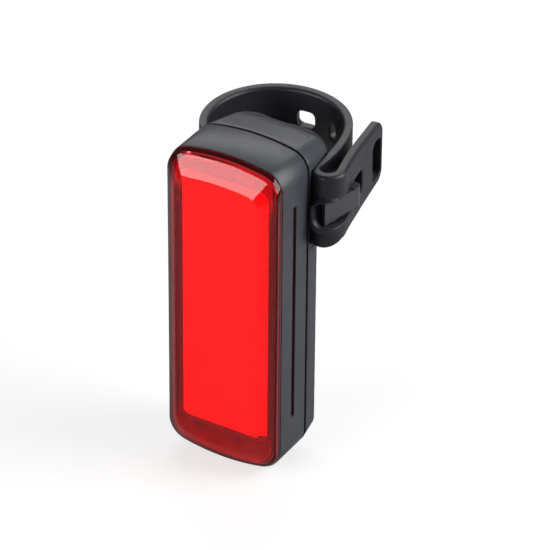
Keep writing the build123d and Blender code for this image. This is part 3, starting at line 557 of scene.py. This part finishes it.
def bowed_outline(half_width, half_height, arc_radius, corner):
    """Upright outline with bowed ends and round corners, as X and height."""
    arc_centre = half_height - arc_radius
    corner_x = half_width - corner
    corner_height = arc_centre + sqrt((arc_radius - corner) ** 2 - corner_x**2)
    turn = atan2(corner_height - arc_centre, corner_x)
    quarter = [(half_width, corner_height * i / side_steps) for i in range(side_steps)]
    for i in range(bow_corner_steps):
        angle = turn * i / bow_corner_steps
        quarter.append((corner_x + corner * cos(angle), corner_height + corner * sin(angle)))
    for i in range(end_steps):
        angle = turn + (pi / 2 - turn) * i / end_steps
        quarter.append((arc_radius * cos(angle), arc_centre + arc_radius * sin(angle)))
    upper = quarter + [(0.0, half_height)] + [(-x, height) for x, height in reversed(quarter)]
    return upper + [(-x, -height) for x, height in upper[1:-1]]


def body_ring(depth, inset=0.0):
    """Ring of points on the body's outline, drawn in by the inset."""
    outline = bowed_outline(
        body_width / 2 - inset, body_height / 2 - inset, end_arc_radius - inset, corner_radius - inset
    )
    return [Vector((x, joint_y + depth, body_middle + height)) for x, height in outline]


def lens_rim_ring(depth):
    """Ring of points where the rim of the lens ends and its bevels start."""
    outline = bowed_outline(body_width / 2, body_height / 2 - lens_rim_drop, end_arc_radius, corner_radius)
    return [Vector((x, joint_y + depth, body_middle + height)) for x, height in outline]


def lens_face_ring(depth, inset=0.0):
    """Ring of points round the flat front of the lens."""
    outline = bowed_outline(
        body_width / 2 - lens_side_bevel - inset,
        body_height / 2 - lens_end_bevel - inset,
        lens_face_arc_radius,
        lens_face_corner - inset,
    )
    return [Vector((x, joint_y + depth, body_middle + height)) for x, height in outline]


def soften(rings, radii, steps=4):
    """Rings with each crease that has a radius swapped for a short curve across it."""
    soft = []
    for i, (ring, radius) in enumerate(zip(rings, radii)):
        if not radius:
            soft.append(ring)
            continue
        for k in range(steps + 1):
            t = k / steps
            curve = []
            for point, before, after in zip(ring, rings[i - 1], rings[i + 1]):
                start = point + (before - point).normalized() * radius
                end = point + (after - point).normalized() * radius
                curve.append(start * (1 - t) ** 2 + point * 2 * t * (1 - t) + end * t**2)
            soft.append(curve)
    return soft


def ring_stack(rings):
    """Vertices and faces of a closed skin over a stack of rings, with a flat cap at each end."""
    count = len(rings[0])
    vertices = [point for ring in rings for point in ring]
    faces = [tuple(range(count))]
    for level in range(len(rings) - 1):
        low, high = level * count, (level + 1) * count
        for i in range(count):
            k = (i + 1) % count
            faces.append((low + i, high + i, high + k, low + k))
    last = (len(rings) - 1) * count
    faces.append(tuple(last + i for i in reversed(range(count))))
    return vertices, faces


def make_lens():
    """Thick clear moulding: flat face, bevels, rim, spigot, and one flat inner face over the panel."""
    rings = [
        lens_face_ring(-lens_depth, lens_face_margin),
        lens_face_ring(-lens_depth),
        lens_rim_ring(-lens_rim_depth),
        body_ring(0.0),
        body_ring(0.0, wall + fit_gap),
        body_ring(lens_spigot, wall + fit_gap),
        body_ring(lens_spigot, lens_foot_wall),
        body_ring(-lens_inner_depth, lens_foot_wall),
    ]
    radii = [0, crease_radius, crease_radius, lens_joint_edge, 0, 0, 0, 0]
    vertices, faces = ring_stack(soften(rings, radii))
    new_piece("lens_shell", vertices, faces, lens_red, "light", "lens_red", ["lens_cover"], 60)


def rounded_corners(points, radii, step=0.35):
    """Polygon with its corners rounded by arcs."""
    out = []
    count = len(points)
    for i, (corner, radius) in enumerate(zip(points, radii)):
        corner = Vector(corner)
        if not radius:
            out.append(corner)
            continue
        before = (Vector(points[i - 1]) - corner).normalized()
        after = (Vector(points[(i + 1) % count]) - corner).normalized()
        half = before.angle(after) / 2
        centre = corner + (before + after).normalized() * radius / sin(half)
        start = corner + before * radius / (sin(half) / cos(half)) - centre
        end = corner + after * radius / (sin(half) / cos(half)) - centre
        turn = start.angle(end)
        steps = max(2, ceil(radius * turn / step))
        for k in range(steps + 1):
            share = k / steps
            weight_start = sin((1 - share) * turn) / sin(turn)
            weight_end = sin(share * turn) / sin(turn)
            out.append(centre + start * weight_start + end * weight_end)
    return out


def divided(loop, step):
    """Closed outline with points added so that none lie further apart than the step."""
    out = []
    for i, point in enumerate(loop):
        point = Vector(point)
        after = Vector(loop[(i + 1) % len(loop)])
        pieces = max(1, ceil((after - point).length / step))
        out += [point.lerp(after, k / pieces) for k in range(pieces)]
    return out


def signed_area(loop):
    """Area within a loop, negative if it runs clockwise."""
    return sum(a.x * b.y - b.x * a.y for a, b in zip(loop, loop[1:] + loop[:1])) / 2


def drawn_in(loop, distance):
    """Loop moved to its left by the distance."""
    out = []
    count = len(loop)
    for i, point in enumerate(loop):
        before = (point - loop[i - 1]).normalized()
        after = (loop[(i + 1) % count] - point).normalized()
        normal = Vector((-before.y - after.y, before.x + after.x)).normalized()
        facing = Vector((-after.y, after.x)).dot(normal)
        out.append(point + normal * distance / max(facing, 0.5))
    return out


def inside(point, loop):
    """True if a point lies inside a closed loop."""
    found = False
    previous = loop[-1]
    for corner in loop:
        if (corner.y > point.y) != (previous.y > point.y):
            reach = (previous.x - corner.x) * (point.y - corner.y) / (previous.y - corner.y)
            if point.x < corner.x + reach:
                found = not found
        previous = corner
    return found


def sheet_mesh(outline, holes, low, high, place, edges, hole_edges, grid, folds=()):
    """Vertices and faces of a plate with rounded edges: drawn flat, then put in place point by point.

    place(u, v, n) is the point in space of a point of the plate, n being its level between low and high.
    edges and hole_edges are the radii at the low and the high side. The grid's steps go along u and v, and
    folds are lines on the high side that get points of their own.
    """
    loops = []
    for loop, turn in [(outline, 1)] + [(hole, -1) for hole in holes]:
        loop = divided(loop, outline_step)
        if signed_area(loop) * turn < 0:
            loop.reverse()
        loops.append(loop)
    radii = [edges] + [hole_edges] * len(holes)
    vertices = []
    faces = []
    rims = []
    for loop, (low_edge, high_edge) in zip(loops, radii):
        levels = []
        for k in range(edge_steps + 1):
            angle = pi / 2 * k / edge_steps
            levels.append((low_edge * (1 - sin(angle)), low + low_edge * (1 - cos(angle))))
        for k in reversed(range(edge_steps + 1)):
            angle = pi / 2 * k / edge_steps
            levels.append((high_edge * (1 - sin(angle)), high - high_edge * (1 - cos(angle))))
        starts = []
        for inset, level in levels:
            starts.append(len(vertices))
            vertices += [place(p.x, p.y, level) for p in drawn_in(loop, inset)]
        count = len(loop)
        for a, b in zip(starts, starts[1:]):
            for i in range(count):
                k = (i + 1) % count
                faces.append((a + i, a + k, b + k, b + i))
        rims.append((starts[0], starts[-1], count))
    us = [p.x for p in loops[0]]
    vs = [p.y for p in loops[0]]
    columns = max(1, round((max(us) - min(us)) / grid[0]))
    rows = max(1, round((max(vs) - min(vs)) / grid[1]))
    for side, level in ((0, low), (1, high)):
        insets = [pair[side] for pair in radii]
        core = [drawn_in(loop, inset) for loop, inset in zip(loops, insets)]
        margins = [drawn_in(loop, inset + grid_margin * min(grid)) for loop, inset in zip(loops, insets)]
        flat = []
        lines = []
        rim_vertices = []
        for loop, rim in zip(core, rims):
            first = len(flat)
            count = len(loop)
            flat += loop
            lines += [(first + i, first + (i + 1) % count) for i in range(count)]
            rim_vertices += [rim[side] + i for i in range(count)]
        for fold in folds if side else ():
            fold = [point for point in divided(fold, outline_step) if inside(point, margins[0])]
            flat += [p for p in fold if not any(inside(p, hole) for hole in margins[1:])]
        for i in range(1, columns):
            for k in range(1, rows):
                point = Vector((
                    min(us) + (max(us) - min(us)) * (i + 0.5 * (k % 2)) / columns,
                    min(vs) + (max(vs) - min(vs)) * k / rows,
                ))
                if inside(point, margins[0]) and not any(inside(point, hole) for hole in margins[1:]):
                    flat.append(point)
        points, _, triangles, origins, _, _ = geometry.delaunay_2d_cdt(flat, lines, [], 0, 1e-5)
        number = {}
        for i, point in enumerate(points):
            source = origins[i][0] if origins[i] else None
            if source is not None and source < len(rim_vertices):
                number[i] = rim_vertices[source]
            else:
                number[i] = len(vertices)
                vertices.append(place(point.x, point.y, level))
        for triangle in triangles:
            middle = sum((points[i] for i in triangle), Vector((0, 0))) / 3
            if inside(middle, core[0]) and not any(inside(middle, hole) for hole in core[1:]):
                corners = [number[i] for i in triangle]
                faces.append(tuple(corners if side else reversed(corners)))
    used = sorted({i for face in faces for i in face})
    renumber = {old: new for new, old in enumerate(used)}
    return [vertices[i] for i in used], [tuple(renumber[i] for i in face) for face in faces]


# Paths of bent bands

class Path:
    """Straight runs and arcs in plan, one after the other."""

    def __init__(self):
        self.runs = []
        self.length = 0.0

    def line(self, start, end):
        """Adds a straight run."""
        start, end = Vector(start), Vector(end)
        run = (end - start).length
        self.runs.append((self.length, run, "line", start, end, 0.0))
        self.length += run

    def arc(self, centre, radius, start_angle, turn):
        """Adds an arc by its start angle and its turn, in degrees."""
        run = radius * abs(radians(turn))
        self.runs.append((self.length, run, "arc", Vector(centre), (radius, start_angle), turn))
        self.length += run

    def at(self, distance):
        """Point and heading at a distance along the path; the end runs carry on past the ends."""
        for begin, run, kind, first, second, turn in self.runs:
            if distance <= begin + run:
                break
        share = (distance - begin) / run
        if kind == "line":
            heading = second - first
            return first + heading * share, atan2(heading.y, heading.x)
        radius, start_angle = second
        angle = radians(start_angle + turn * share)
        point = first + radius * Vector((cos(angle), sin(angle)))
        return point, angle + (pi / 2 if turn > 0 else -pi / 2)


def on_circle(centre, radius, angle):
    """Point on a circle in plan, at an angle in degrees from +X."""
    return Vector(centre) + radius * Vector((cos(radians(angle)), sin(radians(angle))))


def strap_path():
    """Middle line of the strap: eye, root, loop round the post, bowed side, fold and pull tab."""
    path = Path()
    root_centre = on_circle(loop_centre, loop_radius - root_radius, root_join_angle)
    to_pin = Vector(pin_centre) - root_centre
    root_start = degrees(atan2(to_pin.y, to_pin.x)) % 360 - degrees(acos(root_radius / to_pin.length))
    to_fold = Vector(fold_centre) - Vector(loop_centre)
    side_to_loop = side_radius - loop_radius
    side_to_fold = side_radius + fold_radius
    reach = (side_to_loop**2 - side_to_fold**2 + to_fold.length_squared) / (2 * to_fold.length)
    side_angle = degrees(atan2(to_fold.y, to_fold.x)) - degrees(acos(reach / side_to_loop))
    side_centre = on_circle(loop_centre, side_to_loop, side_angle)
    from_side = Vector(loop_centre) - side_centre
    loop_end = degrees(atan2(from_side.y, from_side.x))
    from_side = Vector(fold_centre) - side_centre
    side_end = degrees(atan2(from_side.y, from_side.x))
    fold_end = on_circle(fold_centre, fold_radius, tab_start_heading - 90)
    bend = tab_start_heading - tab_end_heading
    tab_radius = tab_bend_length / radians(bend)
    tab_centre = on_circle(fold_end, tab_radius, tab_start_heading - 90)
    bend_end = on_circle(tab_centre, tab_radius, tab_end_heading + 90)
    run = (tab_tip_y - bend_end.y) / sin(radians(tab_end_heading))
    path.line(pin_centre, on_circle(root_centre, root_radius, root_start))
    path.arc(root_centre, root_radius, root_start, root_join_angle - root_start)
    path.loop_start = path.length
    path.arc(loop_centre, loop_radius, root_join_angle, loop_end - root_join_angle)
    path.side_start = path.length
    path.arc(side_centre, side_radius, loop_end, side_end - loop_end)
    path.fold_start = path.length
    path.arc(fold_centre, fold_radius, side_end + 180, tab_start_heading + 90 - side_end)
    path.fold_end = path.length
    path.arc(tab_centre, tab_radius, tab_start_heading + 90, -bend)
    path.line(bend_end, on_circle(bend_end, run, tab_end_heading))
    path.loop_end = loop_end
    path.side_end = side_end
    path.side_centre = side_centre
    return path


def box_hole(left, right, low, high, corners):
    """Outline of an opening; corners are the radii at low left, low right, high right and high left."""
    return rounded_corners([(left, low), (right, low), (right, high), (left, high)], corners, opening_step)


def joined(*skins):
    """Vertices and faces of several skins as one."""
    vertices = []
    faces = []
    for skin_vertices, skin_faces in skins:
        shift = len(vertices)
        vertices += skin_vertices
        faces += [tuple(i + shift for i in face) for face in skin_faces]
    return vertices, faces


def tube(centre, inner, outer, low, high, edge, steps=48):
    """Vertices and faces of an upright tube with rounded rims."""
    profile = []
    for x, z, turn in ((inner, low, 2), (outer, low, 3), (outer, high, 0), (inner, high, 1)):
        middle = ((x + edge if x == inner else x - edge), (z + edge if z == low else z - edge))
        for k in range(4):
            angle = pi / 2 * (turn + k / 3)
            profile.append((middle[0] + edge * cos(angle), middle[1] + edge * sin(angle)))
    vertices = []
    faces = []
    count = len(profile)
    for i in range(steps):
        turn = 2 * pi * i / steps
        vertices += [Vector((centre[0] + r * cos(turn), centre[1] + r * sin(turn), z)) for r, z in profile]
        for k in range(count):
            a, b = i * count, (i + 1) % steps * count
            faces.append((a + k, b + k, b + (k + 1) % count, a + (k + 1) % count))
    return vertices, faces


def make_strap():
    """Rubber strap in one piece, drawn flat along its path and then bent."""
    path = strap_path()
    half = strap_width / 2
    half_thickness = strap_thickness / 2
    outer_fold = fold_radius + half_thickness
    outer_collar = outer_fold + collar_thickness

    def outer_face(s):
        point, heading = path.at(s)
        return Vector((point.x + half_thickness * sin(heading), point.y - half_thickness * cos(heading)))

    def round_path(angle):
        return path.loop_start + loop_radius * radians(root_join_angle - angle)

    def round_fold(angle):
        return path.fold_start + fold_radius * radians(angle - path.side_end - 180)

    def along_tab(y):
        """Distance along the path at which the outer face of the tab reaches a Y."""
        near, far = round_fold(fold_front_angle), path.length + 2
        for _ in range(40):
            middle = (near + far) / 2
            if outer_face(middle).y < y:
                near = middle
            else:
                far = middle
        return near

    def across_front(x, reach):
        """Distance along the path at which the fold's front has an X, at a reach from its centre."""
        return round_fold(fold_front_angle + degrees(asin((x - fold_centre[0]) / reach)))

    def front_end(start_x, low, high, corner, reach):
        """Round front end of the slot or its collar, from its upper to its lower edge."""
        points = []
        for k in range(front_end_steps + 1):
            angle = pi / 2 * k / front_end_steps
            points.append((start_x + corner * (1 - sin(angle)), high - corner * (1 - cos(angle))))
        points += [(x, low + high - z) for x, z in reversed(points)]
        return [(across_front(x, reach), z) for x, z in points]

    # The tab's lower edge rises from the fold's front on
    rise = []
    front = fold_centre[1] - outer_fold
    for k in range(tab_rise_steps):
        s = round_fold(fold_front_angle + 90 / tab_rise_steps * k)
        share = (outer_face(s).y - front) / (tab_knee_y - front)
        rise.append((s, -half + share * (half + tab_low)))
    outline = [(0.0, half), (0.0, -half), *rise]
    radii = [0] * len(outline)
    outline += [
        (along_tab(tab_knee_y), tab_low),
        (along_tab(tab_taper_y), tab_low),
        (along_tab(tab_tip_y), tab_tip_low),
        (along_tab(tab_tip_y), half),
    ]
    radii += [tab_knee_radius, tab_taper_radius, tab_corner, tab_corner]
    outline = rounded_corners(outline, radii)

    holes = []
    for angle, width in loop_holes:
        middle = round_path(angle)
        holes.append(box_hole(
            middle - width / 2,
            middle + width / 2,
            loop_hole_middle - loop_hole_height / 2,
            loop_hole_middle + loop_hole_height / 2,
            [opening_corner] * 4,
        ))

    def side_run(y):
        angle = degrees(asin((y - path.side_centre.y) / side_radius))
        return path.side_start + side_radius * radians(path.loop_end - angle)

    holes.append(box_hole(
        side_run(stem_hole_back_y), side_run(stem_hole_front_y), slot_low, slot_high, [opening_corner] * 4
    ))
    low_corner, high_corner = tip_hole_corners
    holes.append(box_hole(
        along_tab(tip_hole_front_y),
        along_tab(tip_hole_back_y),
        tip_hole_low,
        tip_hole_high,
        [low_corner, low_corner, high_corner, high_corner],
    ))
    slot = front_end(slot_front_x, slot_low, slot_high, slot_front_corner, outer_fold)
    slot_radii = [0] * len(slot) + list(slot_back_corners)
    slot += [(along_tab(slot_back_y), slot_low), (along_tab(slot_back_y), slot_high)]
    holes.append(rounded_corners(slot, slot_radii, opening_step))
    rim_end = path.fold_end + collar_past_fold
    rim = front_end(collar_start_x, collar_low, collar_high, collar_corner, outer_collar)
    rim = [Vector(p) for p in rim + [(rim_end, collar_low), (rim_end, collar_high)]]
    if signed_area(divided(rim, outline_step)) < 0:
        rim.reverse()
    rim = divided(rim, outline_step)
    foot = drawn_in(rim, -collar_slope)
    collar_radius = outer_collar - collar_offset

    def collar_rise(s):
        """How far the collar stands proud of the fold."""
        away = radians(path.side_end + 180 - collar_peak_angle) + (s - path.fold_start) / fold_radius
        reach = collar_offset * cos(away) + sqrt(collar_radius**2 - (collar_offset * sin(away)) ** 2)
        return max(0.0, reach - outer_fold)

    def place(s, z, n):
        if n >= half_thickness - opening_soft_edge - 1e-6 and path.fold_start < s < rim_end:
            if inside(Vector((s, z)), rim):
                n += collar_rise(s)
            elif inside(Vector((s, z)), foot):
                n += collar_foot_share * collar_rise(s)
        point, heading = path.at(s)
        return Vector((point.x + n * sin(heading), point.y - n * cos(heading), z))

    vertices, faces = sheet_mesh(
        outline,
        holes,
        -half_thickness,
        half_thickness,
        place,
        (strap_crisp_edge, strap_soft_edge),
        (strap_crisp_edge, opening_soft_edge),
        strap_grid,
        folds=[rim, foot],
    )
    eye = tube(pin_centre, pin_radius, eye_radius, -half, half, eye_edge)
    vertices, faces = joined((vertices, faces), eye)
    new_piece("strap_band", vertices, faces, strap_rubber, "light", "strap_rubber", ["strap"], 50)


def full_round(width):
    """Corner radius that makes an end of this width round, with a sliver of straight run left."""
    return width / 2 - 0.01


def rear_plate(width, height, middle, front, rear, corner, edges, grid=(1.0, 1.0)):
    """Upright plate with round corners: middle is its height, front and rear its depths along Y."""
    outline = box_hole(-width / 2, width / 2, middle - height / 2, middle + height / 2, [corner] * 4)
    return sheet_mesh(outline, [], front, rear, lambda u, v, n: Vector((-u, n, v)), edges, (0, 0), grid)


def make_pad():
    """Rubber pad on the block, with a round groove for the post along its middle."""
    crest_outer = pad_groove_half_width + pad_crest_width
    groove_radius = (pad_groove_half_width**2 + pad_crest**2) / (2 * pad_crest)
    front = pad_crest - pad_body_depth

    def profile(x):
        away = abs(x)
        if away < pad_groove_half_width:
            return groove_radius - sqrt(groove_radius**2 - away**2)
        slope = (pad_crest + pad_shoulder_drop) / (pad_half_width - crest_outer)
        return pad_crest - slope * max(0.0, away - crest_outer)

    def place(u, v, n):
        share = (n - front) / pad_body_depth
        return Vector((-u, front + share * (profile(u) - front), body_middle + v))

    outline = []
    for x, height in bowed_outline(pad_half_width, pad_half_height, pad_arc_radius, pad_corner):
        if height > pad_foot_height + pad_foot_corner:
            outline.append((max(x, -pad_high.x), height))
    outline += [(outline[-1][0], pad_foot_height), (outline[0][0], pad_foot_height)]
    radii = [0] * (len(outline) - 2) + [pad_foot_corner] * 2
    outline = rounded_corners(outline, radii)
    folds = []
    for line in (-crest_outer, -pad_groove_half_width, pad_groove_half_width, crest_outer):
        folds.append([(line, pad_foot_height), (line, pad_half_height)])
    edges = (pad_crisp_edge, pad_soft_edge)
    body = sheet_mesh(outline, [], front, pad_crest, place, edges, (0, 0), pad_grid, folds=folds)
    core = rear_plate(
        pad_core_width,
        pad_core_height,
        body_middle + pad_core_middle,
        front - pad_lift,
        front + overlap,
        pad_core_corner,
        (hidden_edge, hidden_edge),
    )
    vertices, faces = joined(body, core)
    new_piece("pad_skin", vertices, faces, pad_rubber, "light", "pad_rubber", ["saddle_pad"], 40)


def make_port_cover():
    """Rubber cover of the charging port: flap with plug and lip, anchored end, and the thin web between."""
    port_height = (flap_low.z + flap_high.z) / 2
    flap_front = flap_back - flap_thickness
    plate_edges = (crisp_edge, flap_soft_edge)
    flap = joined(
        rear_plate(flap_width, flap_height, port_height, flap_front, flap_back, flap_corner, plate_edges),
        rear_plate(
            plug_width,
            plug_height,
            port_height,
            flap_front - plug_depth,
            flap_front + overlap,
            full_round(plug_height),
            (plug_edge, hidden_edge),
        ),
        rear_plate(
            lip_width,
            lip_height,
            flap_high.z - lip_height,
            flap_back - overlap,
            flap_high.y,
            lip_corner,
            (hidden_edge, lip_edge),
            fine_grid,
        ),
    )
    new_piece("port_flap", *flap, flap_rubber, "flap", "flap_rubber", ["port_cover"], 50)
    anchor_height = anchor_high.z - anchor_low.z
    anchor_middle = (anchor_high.z + anchor_low.z) / 2
    anchor = joined(
        rear_plate(anchor_width, anchor_height, anchor_middle, flap_front, flap_back, anchor_corner, plate_edges),
        rear_plate(
            anchor_peg_width,
            anchor_peg_width,
            anchor_middle,
            flap_front - anchor_peg_length,
            flap_front + overlap,
            full_round(anchor_peg_width),
            (anchor_peg_edge, hidden_edge),
            fine_grid,
        ),
    )
    new_piece("anchor_end", *anchor, flap_rubber, "light", "flap_rubber", ["cover_anchor"], 50)
    web_low = anchor_high.z - web_overlap
    web_high = flap_low.z + web_overlap
    web = rear_plate(
        web_width,
        web_high - web_low,
        (web_low + web_high) / 2,
        flap_back - web_thickness / 2,
        flap_back + web_thickness / 2,
        web_corner,
        (crisp_edge, crisp_edge),
        web_grid,
    )
    piece = new_piece("cover_web", *web, flap_rubber, None, "flap_rubber", [], 60)
    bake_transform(piece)


def make_button():
    """Rubber push button: a pill that stands proud of the end, on its flange inside."""
    middle = (button_low.y + button_high.y) / 2

    def place(u, v, n):
        return Vector((u, middle + v, n))

    def pill(length, width, low, high, edges):
        outline = box_hole(-length / 2, length / 2, -width / 2, width / 2, [full_round(width)] * 4)
        return sheet_mesh(outline, [], low, high, place, edges, (0, 0), button_grid)

    flange_low = button_high.z - button_flange_thickness
    cap_edges = (button_soft_edge, hidden_edge)
    flange_edges = (crisp_edge, crisp_edge)
    vertices, faces = joined(
        pill(button_length, button_width, button_low.z, flange_low + overlap, cap_edges),
        pill(button_flange_length, button_flange_width, flange_low, button_high.z, flange_edges),
    )
    new_piece("button_cap", vertices, faces, button_rubber, "button", "button_rubber", ["power_button"], 50)


def make_foam():
    """Foam sheet between the cell and the cover."""
    size = foam_high - foam_low
    middle = (foam_low.z + foam_high.z) / 2
    skin = rear_plate(size.x, size.z, middle, foam_low.y, foam_high.y, foam_corner, (foam_edge, foam_edge))
    new_piece("foam_sheet", *skin, foam_grey, "light", "foam_grey", ["battery_foam"], 50)


def dress(name, material, bevel=0.0):
    """Gives a CAD node its material, and softens its sharp edges where it has a bevel."""
    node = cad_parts[name]
    node.data.materials.clear()
    node.data.materials.append(material)
    if bevel:
        weld = node.modifiers.new("weld", "WELD")
        weld.merge_threshold = 0.002 * MM
        edge = node.modifiers.new("bevel", "BEVEL")
        edge.width = bevel * MM
        edge.segments = 2
        edge.limit_method = "ANGLE"
        edge.angle_limit = radians(40)
        edge.harden_normals = True


def make_floor():
    """Pale floor that the camera sees as white, with the object's soft shadow."""
    mesh = bpy.data.meshes.new("floor")
    height = cad_box[0][2]
    corners = [(x * floor_reach, y * floor_reach, height) for x, y in ((-1, -1), (1, -1), (1, 1), (-1, 1))]
    mesh.from_pydata(corners, [], [(0, 1, 2, 3)])
    finish = Finish("floor", (floor_grey, floor_grey, floor_grey), 0.8)
    finish.set(Specular_IOR_Level=0.1)
    finish.grain(12, 0.02)
    nodes, links = finish.nodes, finish.links
    amount = nodes.new("ShaderNodeMath")
    amount.operation = "MULTIPLY"
    links.new(seen_share(nodes, links), amount.inputs[0])
    amount.inputs[1].default_value = floor_glow
    links.new(amount.outputs[0], finish.shader.inputs["Emission Strength"])
    finish.shader.inputs["Emission Color"].default_value = (1, 1, 1, 1)
    mesh.materials.append(finish.material)
    floor = bpy.data.objects.new("floor", mesh)
    bpy.context.collection.objects.link(floor)


add_camera()
add_world()
for lamp_name, lamp_values in softboxes.items():
    add_softbox(lamp_name, *lamp_values)
make_floor()

make_lens()
make_strap()
make_pad()
make_port_cover()
make_button()
make_foam()

dress("front_housing", housing_plastic, 0.12)
dress("rear_cover", housing_plastic, 0.12)
dress("bezel_frame", bezel_dark)
dress("light_diffuser", panel_red)
dress("lens_seal", seal_rubber)
dress("rear_seal", seal_rubber)
dress("side_window_left", window_red)
dress("side_window_right", window_red)
dress("strap_hook", hook_plastic, 0.3)
dress("strap_pin", dark_steel, 0.1)
dress("body_screws", dark_steel, 0.08)
dress("tact_switch", connector_plastic)
dress("switch_plunger", plunger_plastic)
dress("led_board", board_painted_glow)
dress("driver_board", board_black)
dress("led_chips", chip_amber)
dress("driver_chips", chip_black)
dress("board_header", connector_plastic)
dress("socket_shell", bright_steel)
dress("socket_tongue", connector_plastic)
dress("battery_cell", battery_foil, 0.4)
dress("battery_tray", tray_black)
dress("battery_leads", lead_sleeve)
dress("battery_plug", plug_white)

bpy.context.scene.view_settings.view_transform = "Standard"
